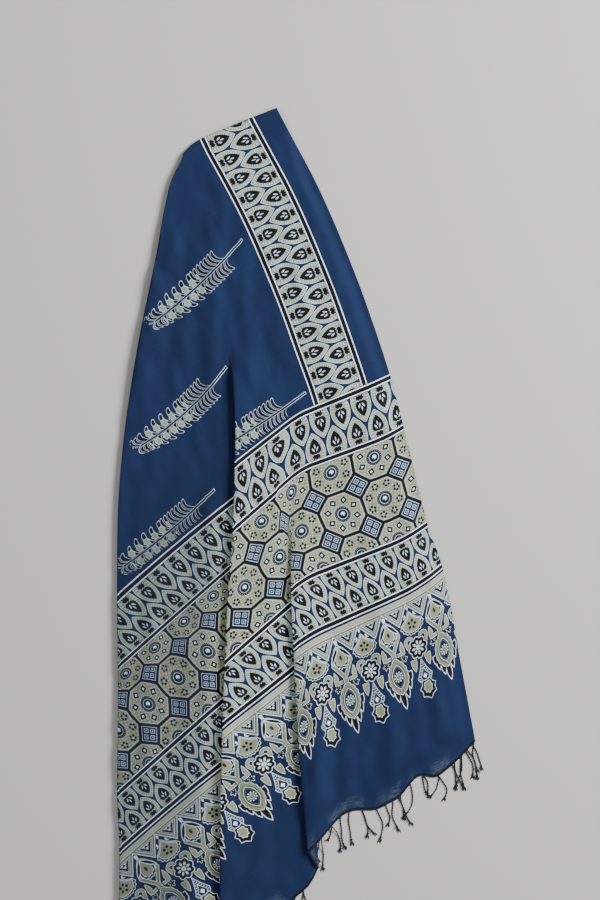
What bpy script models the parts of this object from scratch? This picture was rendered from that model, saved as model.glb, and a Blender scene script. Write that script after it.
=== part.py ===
"""Block-printed stole, laid flat with its top edge folded over and its end spread. Metres, +Z up.

The cloth is one sheet. Its shown face runs from a fringed hem up to a crosswise fold, with two
pleats that deepen towards the hem. At its left side it turns under, and past the crosswise fold
the back half lies beneath. All of it is worked out from the table of weft lines.
"""

import math
from collections import namedtuple

import bmesh
import bpy
import numpy as np
from mathutils import Vector

MM = 0.001

THICKNESS = 1.2 * MM
LAYER_STEP = 2.4 * MM  # from the middle of one layer to the middle of the next
FLOOR_GAP = 0.1 * MM  # under the shown face where it reaches the surface
CORNER_SQUEEZE = 0.3  # how much flatter the crosswise fold turns at its left end
CORNER_RUN = 25 * MM

# Weft lines of the shown face, from the crosswise fold down to the hem. Lengths are in mm and
# slopes in degrees below level, going left. x is to the right and y towards the fold.
# along: distance from the hem along the cloth. edge: the right selvedge.
# valley, fold, side: where the line meets the small pleat, the large pleat and the left side.
# depth: how far a pleat reaches under itself. drop: how far the line steps down across it.
WeftLine = namedtuple(
    "WeftLine",
    "along edge_x edge_y valley_x fold_x side_x slope_edge slope_middle slope_fold slope_side "
    "valley_depth valley_drop fold_depth fold_drop",
)
WEFT_LINES = [
    WeftLine(880, -29, 442, -83, -127, -152, 21.5, 21.5, 23, 50, -9, 0, -9, 0),
    WeftLine(862, -20.5, 426, -79, -126, -167, 21.5, 21.5, 24, 46, -9, 0, -9, 0),
    WeftLine(840, -10, 406.5, -73, -124, -174, 21.5, 21.5, 25, 41, -9, 0, -9, 0),
    WeftLine(780, 18, 354, -57, -114, -187, 22, 22, 26, 33, -9, 0, -9, 0),
    WeftLine(676, 60, 259, -36, -98, -215, 22, 22, 29, 34, -9, 0, -8, 0),
    WeftLine(631, 77, 216, -28, -92, -227, 22, 22, 31, 36, -9, 0, 3, 10),
    WeftLine(585, 92, 174, -22, -87, -235, 22, 22, 33, 37, -9, 0, 18, 26),
    WeftLine(502, 118, 95, -16, -85, -238, 26, 22, 38, 42, -7, 0, 42, 45),
    WeftLine(433, 135, 30, -13, -88, -237, 32, 20, 41, 42, -2, 2, 48, 47),
    WeftLine(365, 150, -32, -12, -94, -237, 34, 20, 41, 42, 7, 9, 50, 48),
    WeftLine(296, 166, -96, -12, -98, -238, 36, 21, 41, 42, 14, 19, 50, 48),
    WeftLine(231, 185, -151, -9, -101, -235, 40, 24, 38, 42, 17, 29, 49, 51),
    WeftLine(104, 209, -276, -1, -104, -238, 44, 26, 39, 43, 16, 40, 42, 54),
    WeftLine(0, 228, -378, 10, -104, -240, 50, 28, 40, 44, 15, 46, 30, 55),
]

# Ripples of the shown hem. lift: how far the hem rises at the middle of each, fading upwards.
HemRipple = namedtuple("HemRipple", "middle_x half_width lift reach")
HEM_RIPPLES = [
    HemRipple(153, 28, 15, 90),
    HemRipple(60, 46, 17, 90),
    HemRipple(-45, 30, 6, 70),
]

# Soft ridges of the shown face, as lines with a rounded top, fading at both ends.
Ridge = namedtuple("Ridge", "name top_x top_y foot_x foot_y width lift")
RIDGES = [
    Ridge("left of the feathers", -170, 330, -215, 20, 16, 3.0),
    Ridge("middle of the field", -112, 330, -112, 20, 13, 3.4),
    Ridge("beside the pleat", -78, 250, -60, 60, 9, 2.2),
    Ridge("left panel", -185, -60, -205, -560, 17, 3.4),
    Ridge("left panel, near the pleat", -140, -130, -150, -620, 11, 2.4),
    Ridge("right panel, left", 32, -210, 22, -500, 12, 4.2),
    Ridge("right panel, middle", 100, -150, 128, -455, 13, 4.6),
    Ridge("right panel, right", 160, -200, 190, -400, 11, 3.2),
    Ridge("between the pleats", -52, -200, -44, -640, 10, 3.0),
    Ridge("along the border", -5, 230, 62, 40, 12, 2.0),
]

# The layers beneath end a little inside the shown face.
UNDER_INSET_RIGHT = 18 * MM
TUCK_INSET_RIGHT = 23 * MM
UNDER_INSET_LEFT = 5 * MM
UNDER_HEM_SETBACK = 45 * MM
INSET_GROWS_OVER = 90 * MM
TUCK_SHARE_AT_HEM = 0.16
TUCK_WIDENS_OVER = 230 * MM
TUCK_TURNS_OVER = 20 * MM
DROP_RUN_RIGHT = 14 * MM
DROP_RUN = 30 * MM
DROP_MARGIN = 2 * MM
PLEAT_RUN = 26 * MM
PLEAT_MARGIN = 3 * MM
DEEP_PLEAT = 16 * MM  # a pleat this deep is fully folded

# Grid of the sheet
FLAT_SPACING = 3 * MM
RIGHT_STEPS = 8
MIDDLE_STEPS = 5
LEFT_STEPS = 8
TUCK_STEPS = 6
FRONT_ROWS = 27
TURN_ROWS = 3
BACK_ROWS = 8

# Fringe
STRIP_GAP = 0.8 * MM
STRIP_WIDTH = 4 * MM
STRAND_SPACING = 11.5 * MM
STRAND_LENGTH = 48 * MM
STRAND_WIDTH = 1.7 * MM
STRAND_HEIGHT = 1.5 * MM
KNOT_SWELL = 1.6
FOLD_CLEARANCE = 6 * MM
EDGE_CLEARANCE = 4 * MM
STRAND_LEAN_DEGREES = 5.0

FOLD_LINE = WEFT_LINES[0].along * MM


def smooth(t):
    t = np.clip(t, 0.0, 1.0)
    return t * t * (3 - 2 * t)


def line_at(along):
    """The weft line at this distance from the hem, in metres and radians, by a smooth curve."""
    rows = WEFT_LINES[::-1]
    knots = np.array([row.along for row in rows], float) * MM
    i = int(np.clip(np.searchsorted(knots, along) - 1, 0, len(rows) - 2))
    span = knots[i + 1] - knots[i]
    t = (along - knots[i]) / span
    values = []
    for name in WeftLine._fields:
        scale = math.pi / 180 if name.startswith("slope") else MM
        column = np.array([getattr(row, name) for row in rows], float) * scale
        rates = np.gradient(column, knots)
        if t < 0:
            values.append(column[0] + rates[0] * (along - knots[0]))
            continue
        start, end = column[i], column[i + 1]
        values.append(
            start * (1 + 2 * t) * (1 - t) ** 2
            + rates[i] * span * t * (1 - t) ** 2
            + end * t * t * (3 - 2 * t)
            + rates[i + 1] * span * t * t * (t - 1)
        )
    return WeftLine(*values)


def right_y(line, x):
    """Height of the weft line in the right panel, from the selvedge to the small pleat."""
    width = line.edge_x - line.valley_x
    t = np.clip((line.edge_x - x) / width, 0, 1)
    bends = [0.0, 0.3, 0.8, 1.0]
    angles = (line.slope_edge, line.slope_middle, line.slope_middle, line.slope_fold)
    tangents = [math.tan(angle) for angle in angles]
    fallen = 0.0
    for k in range(3):
        reach = np.clip(t - bends[k], 0, bends[k + 1] - bends[k])
        change = (tangents[k + 1] - tangents[k]) / (bends[k + 1] - bends[k])
        fallen = fallen + tangents[k] * reach + change * reach * reach / 2
    return line.edge_y - fallen * width


def middle_y(line, x):
    """Height in the panel between the pleats, and in its part that is folded beneath."""
    crest = right_y(line, line.valley_x) - line.valley_drop
    beneath = np.maximum(x - line.valley_x, 0)
    shown = np.maximum(line.valley_x - x, 0)
    rise = line.valley_drop / 2 / max(line.valley_depth, FLAT_SPACING)
    return crest + beneath * rise - shown * math.tan(line.slope_fold)


def left_y(line, x):
    """Height in the left panel, and in its part under the large pleat."""
    crest = middle_y(line, line.fold_x) - line.fold_drop
    beneath = np.maximum(x - line.fold_x, 0)
    shown = np.maximum(line.fold_x - x, 0)
    rise = line.fold_drop / 2 / max(line.fold_depth, FLAT_SPACING)
    width = line.fold_x - line.side_x
    start = math.tan(line.slope_fold)
    end = math.tan(line.slope_side)
    fallen = start * shown + (end - start) * shown * shown / 2 / width
    return crest + beneath * rise - fallen


def under_y(line, x):
    """Height of a weft line of the layers beneath: the shown one with its steps drawn straight."""
    right = right_y(line, x)
    crest = right_y(line, line.valley_x)
    fold = middle_y(line, line.fold_x)
    side = left_y(line, line.side_x)
    middle = crest + (fold - crest) * (line.valley_x - x) / (line.valley_x - line.fold_x)
    left = fold + (side - fold) * (line.fold_x - x) / (line.fold_x - line.side_x)
    return np.where(x > line.valley_x, right, np.where(x > line.fold_x, middle, left))


def inset_growth(along):
    """0 at the crosswise fold, 1 well below it."""
    return float(smooth((FOLD_LINE - along) / INSET_GROWS_OVER))


def under_ends(line):
    growth = inset_growth(line.along)
    right = line.edge_x - UNDER_INSET_RIGHT * growth
    left = line.side_x + UNDER_INSET_LEFT * growth
    return right, left


def tuck_end(line):
    """Where the part turned under at the left side ends, to the right."""
    widest = line.edge_x - TUCK_INSET_RIGHT * inset_growth(line.along)
    share = TUCK_SHARE_AT_HEM + (1 - TUCK_SHARE_AT_HEM) * smooth(line.along / TUCK_WIDENS_OVER)
    return line.side_x + (widest - line.side_x) * share


def under_outline():
    """The hem and right ends of the layers beneath, as seen from above, for back_cover."""
    hem = line_at(UNDER_HEM_SETBACK)
    hem_x = np.linspace(hem.side_x, hem.edge_x, 60)
    lines = [line_at(along) for along in np.linspace(0, FOLD_LINE, 60)]
    ends = [under_ends(line)[0] for line in lines]
    tucks = [tuck_end(line) for line in lines]
    return {
        "hem_x": hem_x,
        "hem_y": under_y(hem, hem_x),
        "end_x": np.array(ends),
        "end_y": np.array([float(under_y(line, x)) for line, x in zip(lines, ends)]),
        "tuck_x": np.array(tucks),
        "tuck_y": np.array([float(under_y(line, x)) for line, x in zip(lines, tucks)]),
    }


def back_cover(outline, x, y):
    """1 where the back half lies beneath, 0 where it doesn't, with soft runs between."""
    hem_y = np.interp(x, outline["hem_x"], outline["hem_y"])
    end_x = np.interp(y, outline["end_y"], outline["end_x"])
    over_right = 1 - smooth((x - end_x - DROP_MARGIN) / DROP_RUN_RIGHT)
    above_hem = smooth((y - hem_y + DROP_MARGIN + DROP_RUN) / DROP_RUN)
    return over_right * above_hem


def tuck_cover(outline, x, y):
    """1 where the part turned under at the left side lies beneath."""
    end_x = np.interp(y, outline["tuck_y"], outline["tuck_x"])
    return 1 - smooth((x - end_x - DROP_MARGIN) / DROP_RUN_RIGHT)


def pleat_lift(x, crest_x, depth):
    """How far a pleat lifts what is over it, in layers, at this place across."""
    folded = smooth(depth / DEEP_PLEAT)
    return 2 * folded * (1 - smooth((x - crest_x - max(depth, 0) - PLEAT_MARGIN) / PLEAT_RUN))


def ridge_height(x, y):
    height = 0.0
    for ridge in RIDGES:
        top = np.array([ridge.top_x, ridge.top_y]) * MM
        foot = np.array([ridge.foot_x, ridge.foot_y]) * MM
        way = foot - top
        length = np.linalg.norm(way)
        way /= length
        run = (x - top[0]) * way[0] + (y - top[1]) * way[1]
        aside = (x - top[0]) * way[1] - (y - top[1]) * way[0]
        ends = smooth(run / (0.3 * length)) * smooth((length - run) / (0.22 * length))
        height = height + ridge.lift * MM * ends * np.exp(-((aside / (ridge.width * MM)) ** 2))
    return height


def hem_ripple(line, x):
    """How far the ripples pull a weft line up, near the hem."""
    raised = 0.0
    for ripple in HEM_RIPPLES:
        t = np.abs(x - ripple.middle_x * MM) / (ripple.half_width * MM)
        fade = 1 - smooth(line.along / (ripple.reach * MM))
        raised = raised + ripple.lift * MM * (1 - smooth(t)) * fade
    return raised


def pleat_stations(crest_x, depth, y_flat, y_folded):
    """A pleat's own points, from its crest back beneath to its inner crease: x, y and layer.

    Where the pleat is shut they turn round two folds, and where it runs out they lie flat.
    """
    folded = float(smooth(depth / DEEP_PLEAT))
    radius = LAYER_STEP / 2
    inner_x = crest_x + max(depth, 0)
    shut = [
        (crest_x + radius, 2.0, 0.0),
        (crest_x, 1.5, 0.0),
        (crest_x + radius, 1.0, 0.0),
        ((crest_x + inner_x) / 2, 1.0, 0.25),
        (inner_x - radius, 1.0, 0.5),
        (inner_x, 0.5, 0.5),
        (inner_x - radius, 0.0, 0.5),
    ]
    stations = []
    for k, (x_shut, layer, fallen) in enumerate(shut):
        x_flat = crest_x + FLAT_SPACING * (1 - k)
        x = x_flat + (x_shut - x_flat) * folded
        y = y_flat(x_flat) + (y_folded(fallen) - y_flat(x_flat)) * folded
        stations.append((x, y, layer * folded))
    return stations


def spread(start, end, steps):
    """Places strictly between two ends."""
    return [start + (end - start) * k / steps for k in range(1, steps)]


def shown_stations(line):
    """The shown face across one weft line, from the selvedge to the left side: x, y, layer."""

    def valley_fold(fallen):
        return right_y(line, line.valley_x) - line.valley_drop * fallen

    def large_fold(fallen):
        return middle_y(line, line.fold_x) - line.fold_drop * fallen

    def flat_right(x):
        crest = right_y(line, line.valley_x)
        past = max(line.valley_x - x, 0) * math.tan(line.slope_fold)
        return right_y(line, x) if x >= line.valley_x else crest - past

    def flat_middle(x):
        past = np.maximum(line.fold_x - x, 0)
        bend = math.tan(line.slope_side) - math.tan(line.slope_fold)
        return middle_y(line, x) - bend * past * past / 2 / (line.fold_x - line.side_x)

    valley = pleat_stations(line.valley_x, line.valley_depth, flat_right, valley_fold)
    fold = pleat_stations(line.fold_x, line.fold_depth, flat_middle, large_fold)
    stations = []
    edge_to_crest = [line.edge_x] + spread(line.edge_x, valley[0][0], RIGHT_STEPS)
    stations += [(x, float(right_y(line, x)), 0.0) for x in edge_to_crest]
    valley_start = len(stations)
    stations += valley
    between = spread(valley[-1][0], fold[0][0], MIDDLE_STEPS)
    stations += [(x, float(middle_y(line, x)), 0.0) for x in between]
    fold_start = len(stations)
    stations += fold
    to_side = spread(fold[-1][0], line.side_x, LEFT_STEPS) + [line.side_x]
    stations += [(x, float(left_y(line, x)), 0.0) for x in to_side]
    lifted = []
    for k, (x, y, layer) in enumerate(stations):
        if k < valley_start:
            layer += pleat_lift(x, line.valley_x, line.valley_depth)
        if k < fold_start:
            layer += pleat_lift(x, line.fold_x, line.fold_depth)
        lifted.append((x, y + hem_ripple(line, x), layer))
    return lifted


def front_row(along, outline):
    """Middle surface of the front half on one weft line: the shown face, then its turned-under part."""
    line = line_at(along)
    ground = THICKNESS / 2 + FLOOR_GAP
    row = []
    fade = smooth((FOLD_LINE - along) / INSET_GROWS_OVER)
    for x, y, layer in shown_stations(line):
        beneath = tuck_cover(outline, x, y) + 2 * back_cover(outline, x, y)
        low = ground + LAYER_STEP * beneath
        row.append((x, y, low + LAYER_STEP * layer + ridge_height(x, y) * fade))
    side_x, side_y, side_z = row[-1]
    end = tuck_end(line)
    row[-1] = (side_x + LAYER_STEP / 2, side_y, side_z)
    row.append((side_x, side_y, side_z - LAYER_STEP / 2))
    for x in [side_x + LAYER_STEP / 2] + spread(side_x, end, TUCK_STEPS) + [end]:
        y = side_y + (float(under_y(line, x)) - side_y) * float(smooth((x - side_x) / TUCK_TURNS_OVER))
        low = ground + LAYER_STEP * 2 * back_cover(outline, x, y)
        lean = 1 - smooth((x - side_x) / TUCK_TURNS_OVER)
        row.append((x, y, low + ridge_height(side_x, side_y) * fade * lean))
    return row


def outward(row, k):
    """Direction across the crosswise fold, away from the hem, at one of its points."""
    shown = [point for point in row if point[2] > row[0][2] - LAYER_STEP / 4]
    xs = [point[0] for point in shown]
    nearest = min(range(len(xs)), key=lambda i: abs(xs[i] - row[k][0]))
    nearest = min(max(nearest, 1), len(shown) - 2)
    before, after = shown[nearest - 1], shown[nearest + 1]
    direction = Vector((before[1] - after[1], after[0] - before[0], 0))
    direction = direction if direction.y > 0 else -direction
    return direction.normalized()


def turned_row(row, angle):
    """The fold line's row turned about the middle of its four layers, flatter at its left end."""
    middle_z = THICKNESS / 2 + FLOOR_GAP + 1.5 * LAYER_STEP
    points = []
    left_end = min(point[0] for point in row)
    for k, (x, y, z) in enumerate(row):
        offset = z - middle_z
        near_end = 1 - smooth((x - left_end) / CORNER_RUN)
        reach = offset * math.sin(angle) * (1 - CORNER_SQUEEZE * near_end)
        out = outward(row, k) * reach
        points.append((x + out.x, y + out.y, middle_z + offset * math.cos(angle)))
    return points


def back_row(along, fold_row):
    """The back half on one weft line: flat beneath, under its own turned-under part."""
    line = line_at(along)
    top = line_at(FOLD_LINE)
    right, left = under_ends(line)
    low = THICKNESS / 2 + FLOOR_GAP * (1 - inset_growth(along))
    highest = fold_row[0][2]
    row = []
    for x_top, _, z_top in fold_row:
        share = (x_top - top.side_x) / (top.edge_x - top.side_x)
        layer = (highest - z_top) / LAYER_STEP
        x = left + (right - left) * share
        inward = 0 if layer < 0.75 else TUCK_INSET_RIGHT - UNDER_INSET_RIGHT
        x -= inward * inset_growth(along) * share
        row.append((x, float(under_y(line, x)), low + LAYER_STEP * layer))
    return row


def sheet_rows():
    """All rows of the cloth's middle surface, from the shown hem round to the hidden one."""
    outline = under_outline()
    rows = [front_row(FOLD_LINE * k / FRONT_ROWS, outline) for k in range(FRONT_ROWS + 1)]
    fold_row = rows[-1]
    for k in range(1, TURN_ROWS + 1):
        rows.append(turned_row(fold_row, math.pi * k / (TURN_ROWS + 1)))
    rows.append(turned_row(fold_row, math.pi))
    for k in range(1, BACK_ROWS + 1):
        share = (k / BACK_ROWS) ** 1.15
        rows.append(back_row(FOLD_LINE + (UNDER_HEM_SETBACK - FOLD_LINE) * share, fold_row))
    return rows


def material(name, colour, roughness):
    made = bpy.data.materials.new(name)
    made.use_nodes = True
    shader = made.node_tree.nodes["Principled BSDF"]
    shader.inputs["Base Color"].default_value = (*colour, 1)
    shader.inputs["Roughness"].default_value = roughness
    shader.inputs["Metallic"].default_value = 0
    return made


def grid_object(name, rows):
    """A sheet through rows of points, thickened evenly to both sides."""
    mesh = bpy.data.meshes.new(name)
    points = [point for row in rows for point in row]
    across = len(rows[0])
    faces = []
    for i in range(len(rows) - 1):
        for j in range(across - 1):
            corner = i * across + j
            faces.append((corner, corner + across, corner + across + 1, corner + 1))
    mesh.from_pydata(points, [], faces)
    made = bpy.data.objects.new(name, mesh)
    bpy.context.scene.collection.objects.link(made)
    solidify = made.modifiers.new("thickness", "SOLIDIFY")
    solidify.thickness = THICKNESS
    solidify.offset = 0
    return made


def strand_rings(root, lean):
    """Rings of a strand from its root down to the surface and along it, with a knot near its tip."""
    stops = [(0.0, 0.8, 1.0), (0.22, 1.0, 0.0), (0.55, 0.95, 0.0), (0.80, 1.0, 0.0)]
    stops += [(0.86, KNOT_SWELL, 0.0), (0.92, 0.9, 0.0), (1.0, 0.6, 0.0)]
    rings = []
    for along, swell, raised in stops:
        angle = lean * (1 - 1.6 * along)
        x = root.x + math.sin(angle) * STRAND_LENGTH * along
        y = root.y - math.cos(angle) * STRAND_LENGTH * along
        base = max(root.z - STRAND_HEIGHT * 0.3, 0) * raised
        half = STRAND_WIDTH / 2 * swell
        top = STRAND_HEIGHT * swell
        rings.append([(x - half, y, base), (x + half, y, base), (x, y, base + top)])
    return rings


def add_strand(bm, root, lean):
    rings = [[bm.verts.new(corner) for corner in ring] for ring in strand_rings(root, lean)]
    for before, after in zip(rings, rings[1:]):
        for k in range(3):
            bm.faces.new((before[k], before[(k + 1) % 3], after[(k + 1) % 3], after[k]))
    bm.faces.new(rings[0][::-1])
    bm.faces.new(rings[-1])


def strand_roots():
    """Where the strands leave the strip: spaced along the shown stretches of the hem."""
    line = line_at(-(STRIP_GAP + STRIP_WIDTH / 2))
    stretches = [
        (right_y, line.edge_x - EDGE_CLEARANCE, line.valley_x + line.valley_depth + FOLD_CLEARANCE),
        (middle_y, line.valley_x - FOLD_CLEARANCE, line.fold_x + line.fold_depth + FOLD_CLEARANCE),
        (left_y, line.fold_x - FOLD_CLEARANCE, line.side_x + EDGE_CLEARANCE),
    ]
    roots = []
    for height, start, end in stretches:
        xs = np.linspace(start, end, 200)
        ys = np.array([float(height(line, x)) for x in xs])
        lengths = np.concatenate([[0], np.cumsum(np.hypot(np.diff(xs), np.diff(ys)))])
        count = max(int(lengths[-1] / STRAND_SPACING), 1)
        for place in np.linspace(0, lengths[-1], count + 1):
            roots.append(float(np.interp(place, lengths, xs)))
    return roots


def strip_rows():
    outline = under_outline()
    past_hem = [STRIP_GAP + STRIP_WIDTH, STRIP_GAP + STRIP_WIDTH / 2, STRIP_GAP]
    return [front_row(-past, outline) for past in past_hem]


def point_on_strip(row, x):
    """The topmost point of the strip's middle line at this place across."""
    best = None
    for (x0, y0, z0), (x1, y1, z1) in zip(row, row[1:]):
        if min(x0, x1) <= x <= max(x0, x1) and x0 != x1:
            t = (x - x0) / (x1 - x0)
            point = Vector((x, y0 + (y1 - y0) * t, z0 + (z1 - z0) * t))
            if best is None or point.z > best.z:
                best = point
    return best


def fringe_object(name):
    strip = grid_object(name, strip_rows())
    bm = bmesh.new()
    middle = strip_rows()[1]
    for k, x in enumerate(strand_roots()):
        lean = math.radians(STRAND_LEAN_DEGREES) * math.sin(2.4 * k + 0.7)
        add_strand(bm, point_on_strip(middle, x), lean)
    mesh = bpy.data.meshes.new("strands")
    bm.to_mesh(mesh)
    bm.free()
    strands = bpy.data.objects.new("strands", mesh)
    bpy.context.scene.collection.objects.link(strands)
    strands.hide_render = True
    strands.display_type = "WIRE"
    union = strip.modifiers.new("roots", "BOOLEAN")
    union.operation = "UNION"
    union.object = strands
    return strip


def centre_on_origin(objects):
    """Moves the model so that its box stands on the origin, about the middle."""
    bpy.context.view_layer.update()
    graph = bpy.context.evaluated_depsgraph_get()
    corners = []
    for made in objects:
        evaluated = made.evaluated_get(graph)
        mesh = evaluated.to_mesh()
        corners += [vertex.co.copy() for vertex in mesh.vertices]
        evaluated.to_mesh_clear()
    lowest = [min(corner[k] for corner in corners) for k in range(3)]
    highest = [max(corner[k] for corner in corners) for k in range(3)]
    shift = Vector((-(lowest[0] + highest[0]) / 2, -(lowest[1] + highest[1]) / 2, -lowest[2]))
    for data in {made.data for made in bpy.data.objects if made.type == "MESH"}:
        for vertex in data.vertices:
            vertex.co += shift


def main():
    for old in list(bpy.data.objects):
        bpy.data.objects.remove(old)
    indigo = material("indigo_cotton", (0.016, 0.05, 0.165), 0.85)
    dark = material("dark_cotton_yarn", (0.008, 0.014, 0.035), 0.9)
    cloth = grid_object("cloth", sheet_rows())
    cloth.data.materials.append(indigo)
    fringe = fringe_object("fringe")
    fringe.data.materials.append(dark)
    centre_on_origin([cloth, fringe])


main()
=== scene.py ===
"""Looks of the block-printed stole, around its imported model. Metres, +Z up.

The cloth is a fine grid on the folds of its solid. Its print is drawn by nodes in the flat cloth's
own coordinates, one material for each kind of band, so the motifs follow the folds.
"""

import math
from collections import namedtuple

import bpy
import numpy as np
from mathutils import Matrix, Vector


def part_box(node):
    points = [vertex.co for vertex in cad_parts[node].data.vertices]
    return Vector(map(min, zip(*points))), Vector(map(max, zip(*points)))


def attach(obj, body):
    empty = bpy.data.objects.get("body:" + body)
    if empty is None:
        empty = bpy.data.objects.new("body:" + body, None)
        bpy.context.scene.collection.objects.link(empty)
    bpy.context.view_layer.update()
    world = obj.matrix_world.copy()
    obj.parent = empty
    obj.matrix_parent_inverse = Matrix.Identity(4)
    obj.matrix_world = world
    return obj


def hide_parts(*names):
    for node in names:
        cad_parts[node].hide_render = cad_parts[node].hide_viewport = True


MM = 0.001

SOLID_THICKNESS = 1.2 * MM
LAYER_STEP = 2.4 * MM  # from the middle of one layer to the middle of the next
FLOOR_GAP = 0.1 * MM
CORNER_SQUEEZE = 0.3  # how much flatter the crosswise fold turns at its left end
CORNER_RUN = 25 * MM

FRAME_HEIGHT = 1.17  # of the photograph, at the cloth

# Weft lines of the shown face, from the crosswise fold down to the hem. Lengths are in mm and
# slopes in degrees below level, going left. x is to the right and y towards the fold.
# along: distance from the hem along the cloth. edge: the right selvedge.
# valley, fold, side: where the line meets the small pleat, the large pleat and the left side.
# depth: how far a pleat reaches under itself. drop: how far the line steps down across it.
WeftLine = namedtuple(
    "WeftLine",
    "along edge_x edge_y valley_x fold_x side_x slope_edge slope_middle slope_fold slope_side "
    "valley_depth valley_drop fold_depth fold_drop",
)
WEFT_LINES = [
    WeftLine(880, -29, 442, -83, -127, -152, 21.5, 21.5, 23, 50, -9, 0, -9, 0),
    WeftLine(862, -20.5, 426, -79, -126, -167, 21.5, 21.5, 24, 46, -9, 0, -9, 0),
    WeftLine(840, -10, 406.5, -73, -124, -174, 21.5, 21.5, 25, 41, -9, 0, -9, 0),
    WeftLine(780, 18, 354, -57, -114, -187, 22, 22, 26, 33, -9, 0, -9, 0),
    WeftLine(676, 60, 259, -36, -98, -215, 22, 22, 29, 34, -9, 0, -8, 0),
    WeftLine(631, 77, 216, -28, -92, -227, 22, 22, 31, 36, -9, 0, 3, 10),
    WeftLine(585, 92, 174, -22, -87, -235, 22, 22, 33, 37, -9, 0, 18, 26),
    WeftLine(502, 118, 95, -16, -85, -238, 26, 22, 38, 42, -7, 0, 42, 45),
    WeftLine(433, 135, 30, -13, -88, -237, 32, 20, 41, 42, -2, 2, 48, 47),
    WeftLine(365, 150, -32, -12, -94, -237, 34, 20, 41, 42, 7, 9, 50, 48),
    WeftLine(296, 166, -96, -12, -98, -238, 36, 21, 41, 42, 14, 19, 50, 48),
    WeftLine(231, 185, -151, -9, -101, -235, 40, 24, 38, 42, 17, 29, 49, 51),
    WeftLine(104, 209, -276, -1, -104, -238, 44, 26, 39, 43, 16, 40, 42, 54),
    WeftLine(0, 228, -378, 10, -104, -240, 50, 28, 40, 44, 15, 46, 30, 55),
]

RIGHT_BENDS = (0.0, 0.3, 0.8, 1.0)  # shares of the right panel's width where its slope changes

# How the print lies on each weft line. gain: printed mm for each mm across a panel.
# start: the printed distance from the selvedge, in mm, where the panel begins.
# lower: how far the print hangs below its line in the left panel, in mm.
PrintLine = namedtuple(
    "PrintLine", "along right_gain middle_start middle_gain left_start left_gain left_lower"
)
PRINT_LINES = [
    PrintLine(880, 1.0, 58, 1.0, 104.5, 1.0, 0),
    PrintLine(840, 1.0, 67.5, 1.0, 123.8, 1.0, 0),
    PrintLine(780, 1.0, 81, 1.0, 144, 1.0, 0),
    PrintLine(676, 1.0, 104, 1.0, 175, 1.0, 0),
    PrintLine(631, 1.0, 114, 1.0, 194, 1.0, 0),
    PrintLine(585, 1.0, 124, 1.0, 230, 1.0, 0),
    PrintLine(502, 1.01, 141, 1.0, 278, 1.07, 0),
    PrintLine(433, 0.99, 151, 0.99, 347, 1.15, 1),
    PrintLine(392, 0.97, 166, 0.97, 390, 1.13, 11),
    PrintLine(365, 0.985, 187, 0.96, 415, 1.12, 6),
    PrintLine(330, 1.04, 222, 0.98, 452, 1.12, 2),
    PrintLine(296, 1.12, 249, 1.0, 486, 1.13, 0),
    PrintLine(231, 1.25, 306, 1.1, 549, 1.14, 0),
    PrintLine(104, 1.235, 402, 1.1, 663, 1.14, 0),
    PrintLine(0, 1.2, 470, 1.1, 755, 1.14, 0),
]

# Ripples of the shown hem. lift: how far the hem rises at the middle of each, fading upwards.
HemRipple = namedtuple("HemRipple", "middle_x half_width lift reach")
HEM_RIPPLES = [
    HemRipple(153, 28, 15, 90),
    HemRipple(60, 46, 17, 90),
    HemRipple(-45, 30, 6, 70),
]

# Soft ridges of the shown face, as lines with a rounded top, fading at both ends.
Ridge = namedtuple("Ridge", "name top_x top_y foot_x foot_y width lift")
RIDGES = [
    Ridge("left of the feathers", -170, 330, -215, 20, 16, 3.0),
    Ridge("middle of the field", -112, 330, -112, 20, 13, 3.4),
    Ridge("beside the pleat", -78, 250, -60, 60, 9, 2.2),
    Ridge("left panel", -185, -60, -205, -560, 17, 3.4),
    Ridge("left panel, near the pleat", -140, -130, -150, -620, 11, 2.4),
    Ridge("right panel, left", 32, -210, 22, -500, 12, 4.2),
    Ridge("right panel, middle", 100, -150, 128, -455, 13, 4.6),
    Ridge("right panel, right", 160, -200, 190, -400, 11, 3.2),
    Ridge("between the pleats", -52, -200, -44, -640, 10, 3.0),
    Ridge("along the border", -5, 230, 62, 40, 12, 2.0),
]
# Creases too fine for the solid, in the same columns.
CREASES = [
    Ridge("field, high", -120, 400, -95, 300, 8, 1.2),
    Ridge("field, middle", -140, 260, -160, 120, 9, 1.8),
    Ridge("field, left", -200, 180, -222, 40, 8, 1.4),
    Ridge("field, right", -40, 330, 10, 190, 8, 1.2),
    Ridge("field, beside the feather", -95, 150, -90, -20, 8, 1.6),
    Ridge("left panel, outer", -218, -120, -226, -400, 8, 1.8),
    Ridge("left panel, low", -170, -330, -172, -560, 9, 2.0),
    Ridge("left panel, high", -160, -90, -165, -260, 8, 1.5),
    Ridge("left panel, by the pleat", -118, -200, -128, -470, 7, 1.8),
    Ridge("right panel, low left", 60, -300, 66, -480, 8, 2.2),
    Ridge("right panel, low right", 145, -280, 160, -420, 8, 2.0),
    Ridge("right panel, high", 70, -10, 90, -140, 9, 1.4),
    Ridge("right panel, high left", 20, -60, 35, -220, 8, 1.6),
    Ridge("right panel, edge", 175, -120, 205, -300, 8, 1.5),
    Ridge("between the pleats, low", -72, -330, -76, -560, 6, 1.4),
    Ridge("between the pleats, high", -45, -20, -50, -180, 6, 1.2),
]

RIDGE_TOP_FADE = 0.3
RIDGE_FOOT_FADE = 0.22

# Waves of the cloth's small unevenness. pitch: from crest to crest. heading: degrees from +x.
Crumple = namedtuple("Crumple", "pitch lift heading")
CRUMPLES = [
    Crumple(31, 0.60, 8),
    Crumple(43, 0.85, -14),
    Crumple(23, 0.34, 22),
    Crumple(57, 0.70, 63),
    Crumple(17, 0.22, -4),
    Crumple(37, 0.40, 108),
]

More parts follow.
